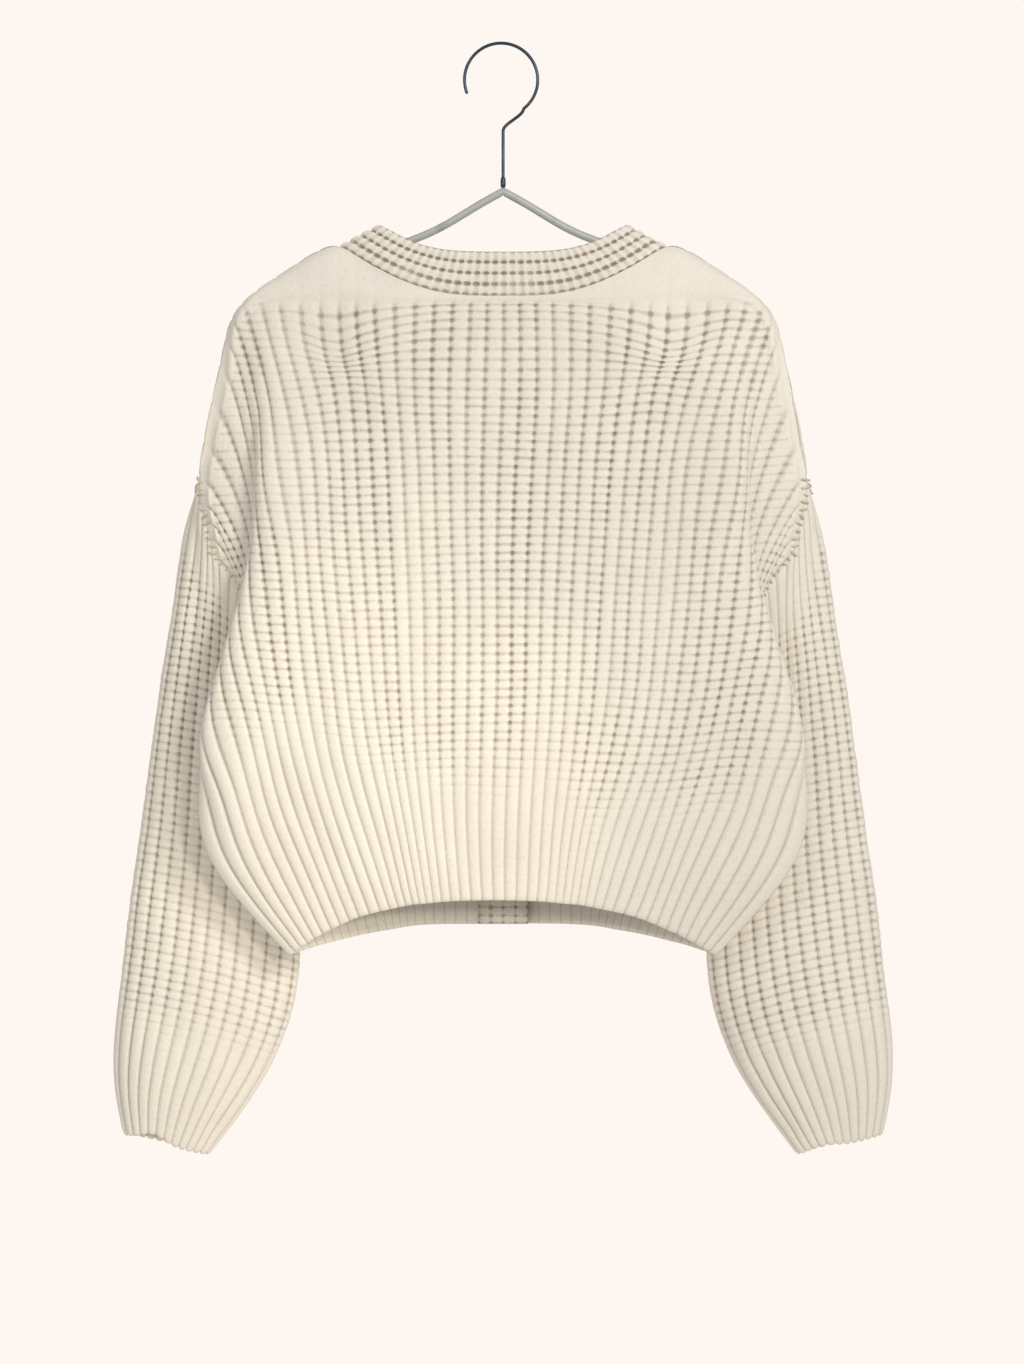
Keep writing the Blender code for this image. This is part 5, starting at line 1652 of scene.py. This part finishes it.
drill_at = [(HOLE_OUT * sx, HOLE_OUT * sy) for sx in (-1, 1) for sy in (-1, 1)]
drill_parts = [tube_parts([(x, y, -4), (x, y, 0), (x, y, 4)], HOLE_RADIUS, 16, 1)
               for x, y in drill_at]
drills = joined_piece("drills", drill_parts, horn)
button_pieces = []
for number in range(1, 6):
    low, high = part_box("button_%d" % number)
    centre = (low + high) / 2
    button = joined_piece("horn_button_%d" % number, [spun_disc(BUTTON_PROFILE, BUTTON_SIDES)],
                          horn)
    cut = button.modifiers.new("holes", "BOOLEAN")
    cut.object = drills
    cut.solver = "EXACT"
    apply_modifiers(button)
    button.location = centre
    deep = (high.y - low.y) / 2 / MM
    lean = math.asin(min(max((deep - BUTTON_THICK / 2) / BUTTON_RADIUS, 0.0), MOST_LEAN))
    button.rotation_euler = (math.pi / 2 + lean, math.radians(TURN_BETWEEN * number), 0.0)
    button_pieces.append(button)
bpy.data.objects.remove(drills, do_unlink=True)
print("buttons:", [button.name for button in button_pieces])

# %% [markdown]
# ## Sewing
#
# Two lots of stitching are built as strands of yarn. Short uneven whip stitches close the armhole
# seams, where the photo shows light and dark stitches on the shoulder. Each button is held by two
# crossed loops through its holes.

# %% Sew the armholes
def surface_frames(points, normals, step_mm):
    """Places evenly along a seam, with the directions along it and out of the cloth."""
    both = along_line(np.concatenate([points, normals], axis=1), np.linspace(0, 1, 800))
    steps = np.linalg.norm(np.diff(both[:, :3], axis=0), axis=1)
    total = steps.sum()
    at = (np.arange(int(total / step_mm)) + 0.5) * step_mm / total
    chosen = along_line(both, at)
    after, before = (along_line(both, np.clip(at + shift, 0, 1))[:, :3]
                     for shift in (0.004, -0.004))
    return chosen[:, :3], unit(chosen[:, 3:]), unit(after - before)


def whip_stitches(points, normals, step_mm, length, lift, radius, seed):
    """Short strands of yarn across a seam, no two alike."""
    chance = np.random.default_rng(seed)
    parts = []
    for place, out, ahead in zip(*surface_frames(points, normals, step_mm)):
        side = unit(np.cross(out, ahead))
        reach = length * chance.uniform(0.7, 1.25) / 2
        slant = chance.uniform(-0.35, 0.75)
        route = []
        for share in np.linspace(-1, 1, 7):
            height = lift * (1 - share ** 2) * chance.uniform(0.85, 1.15) - share ** 2
            route.append(place + (side + ahead * slant) * share * reach + out * height)
        parts.append(tube_parts(route, radius * chance.uniform(0.8, 1.15), 7, 1))
    return parts


STITCH_EVERY, STITCH_LENGTH, STITCH_LIFT, STITCH_RADIUS = 6.4, 9.0, 1.5, 0.95
STITCH_SEED = {"left": 91, "right": 97}

seam_pieces = {}
for side in SIGN:
    loop, loop_n = (to_side(sewn[side][part], side) for part in ("loop", "loop_n"))
    parts = whip_stitches(loop, loop_n, STITCH_EVERY, STITCH_LENGTH, STITCH_LIFT, STITCH_RADIUS,
                          STITCH_SEED[side])
    seam_pieces[side] = joined_piece("armhole_stitches_" + side, parts, seam_yarn)

# %% Sew on the buttons
THREAD_RADIUS = 0.55
OVER_BUTTON = 1.25      # mm from a button's middle plane to its thread
THREAD_ARCH = 0.75
SECOND_LOOP_OVER = 0.35

thread_pieces = []
for number, button in enumerate(button_pieces, start=1):
    parts = []
    for sx, over in ((-1, 0.0), (1, SECOND_LOOP_OVER)):
        near = np.array([HOLE_OUT * sx, -HOLE_OUT, 0.0])
        far = np.array([-HOLE_OUT * sx, HOLE_OUT, 0.0])
        route = [near + (0, 0, -1.6), near + (0, 0, 0.6)]
        for share in np.linspace(0.12, 0.88, 7):
            rise = OVER_BUTTON + THREAD_ARCH * math.sin(math.pi * share) + over
            route.append(near * (1 - share) + far * share + (0, 0, rise))
        route += [far + (0, 0, 0.6), far + (0, 0, -1.6)]
        parts.append(tube_parts(route, THREAD_RADIUS, 8, 1))
    thread = joined_piece("button_thread_%d" % number, parts, seam_yarn)
    thread.location = button.location
    thread.rotation_euler = button.rotation_euler
    thread_pieces.append(thread)

# %% [markdown]
# ## Floor
#
# The cardigan hangs clear of a pale round floor, which lies below the picture. It fades out toward
# its edge, so that from above there is no hard line against the pale surroundings.

# %% Make the floor
FLOOR_HEIGHT = -1.36
FLOOR_RADIUS = 1.3
FADE_FROM = 0.35

shape = bmesh.new()
bmesh.ops.create_circle(shape, cap_ends=True, segments=96, radius=FLOOR_RADIUS)
floor_data = bpy.data.meshes.new("floor")
shape.to_mesh(floor_data)
shape.free()
floor = bpy.data.objects.new("floor", floor_data)
floor.location = (0, 0, FLOOR_HEIGHT)
scene.collection.objects.link(floor)
floor_finish, tree, shader = new_finish("pale_floor", {"Roughness": 0.9})
place = tree.nodes.new("ShaderNodeTexCoord").outputs["Object"]
away = tree.nodes.new("ShaderNodeVectorMath")
away.operation = "LENGTH"
tree.links.new(place, away.inputs[0])
fade = mask_between(tree, away.outputs["Value"], FADE_FROM, FLOOR_RADIUS)
tree.links.new(fade, shader.inputs["Alpha"])
tint = mix_colour(tree, noise(tree, place, 3.0), (0.93, 0.88, 0.83), (0.95, 0.90, 0.85))
tree.links.new(tint, shader.inputs["Base Color"])
floor_data.materials.append(floor_finish)
floor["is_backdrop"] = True

# %% [markdown]
# ## Attach the pieces
#
# Each piece rides on the one body, because cloth has no joints, and the imported piece that it
# replaces is hidden.

# %% Ride and replace
SLOTS = {"wool": [back_piece, *front_pieces.values(), *sleeve_pieces.values(),
                  *seam_pieces.values()],
         "wool_band": [band_piece], "horn": button_pieces + thread_pieces,
         "pale_metal": [hanger_bar], "dark_wire": [hanger_hook]}
for slot, slot_pieces in SLOTS.items():
    for piece in slot_pieces:
        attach(piece, "root")
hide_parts("back")
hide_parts("band")
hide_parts("hanger_bar")
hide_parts("hanger_hook")
for side in SIGN:
    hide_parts("front_" + side)
    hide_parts("sleeve_" + side)
for number, button in enumerate(button_pieces, start=1):
    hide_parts("button_%d" % number)

# %% [markdown]
# ## The cut of the cloth
#
# The garment is 48 ribs wide behind, 22 on each front, 24 round each sleeve and 4 across the
# band. The areas of the sheets, measured before the relief is added, are printed.

# %% Print the areas
def flat_area(points):
    """Area of a sheet, in square metres."""
    across = points[:-1, 1:] - points[:-1, :-1]
    down = points[1:, :-1] - points[:-1, :-1]
    return np.linalg.norm(np.cross(across, down), axis=-1).sum() * MM * MM


print("areas: back %.3f, front %.3f, sleeve %.3f, band %.3f" % (
    flat_area(back_points), flat_area(sewn["left"]["front"]), flat_area(sewn["left"]["sleeve"]),
    flat_area(band_grid)))

# %% [markdown]
# ## Measure and finish
#
# The box of the finished pieces is printed, in millimetres.

# %% Finish
low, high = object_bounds()
print("box in mm:", [round(v * 1000, 1) for v in (*low, *high)])
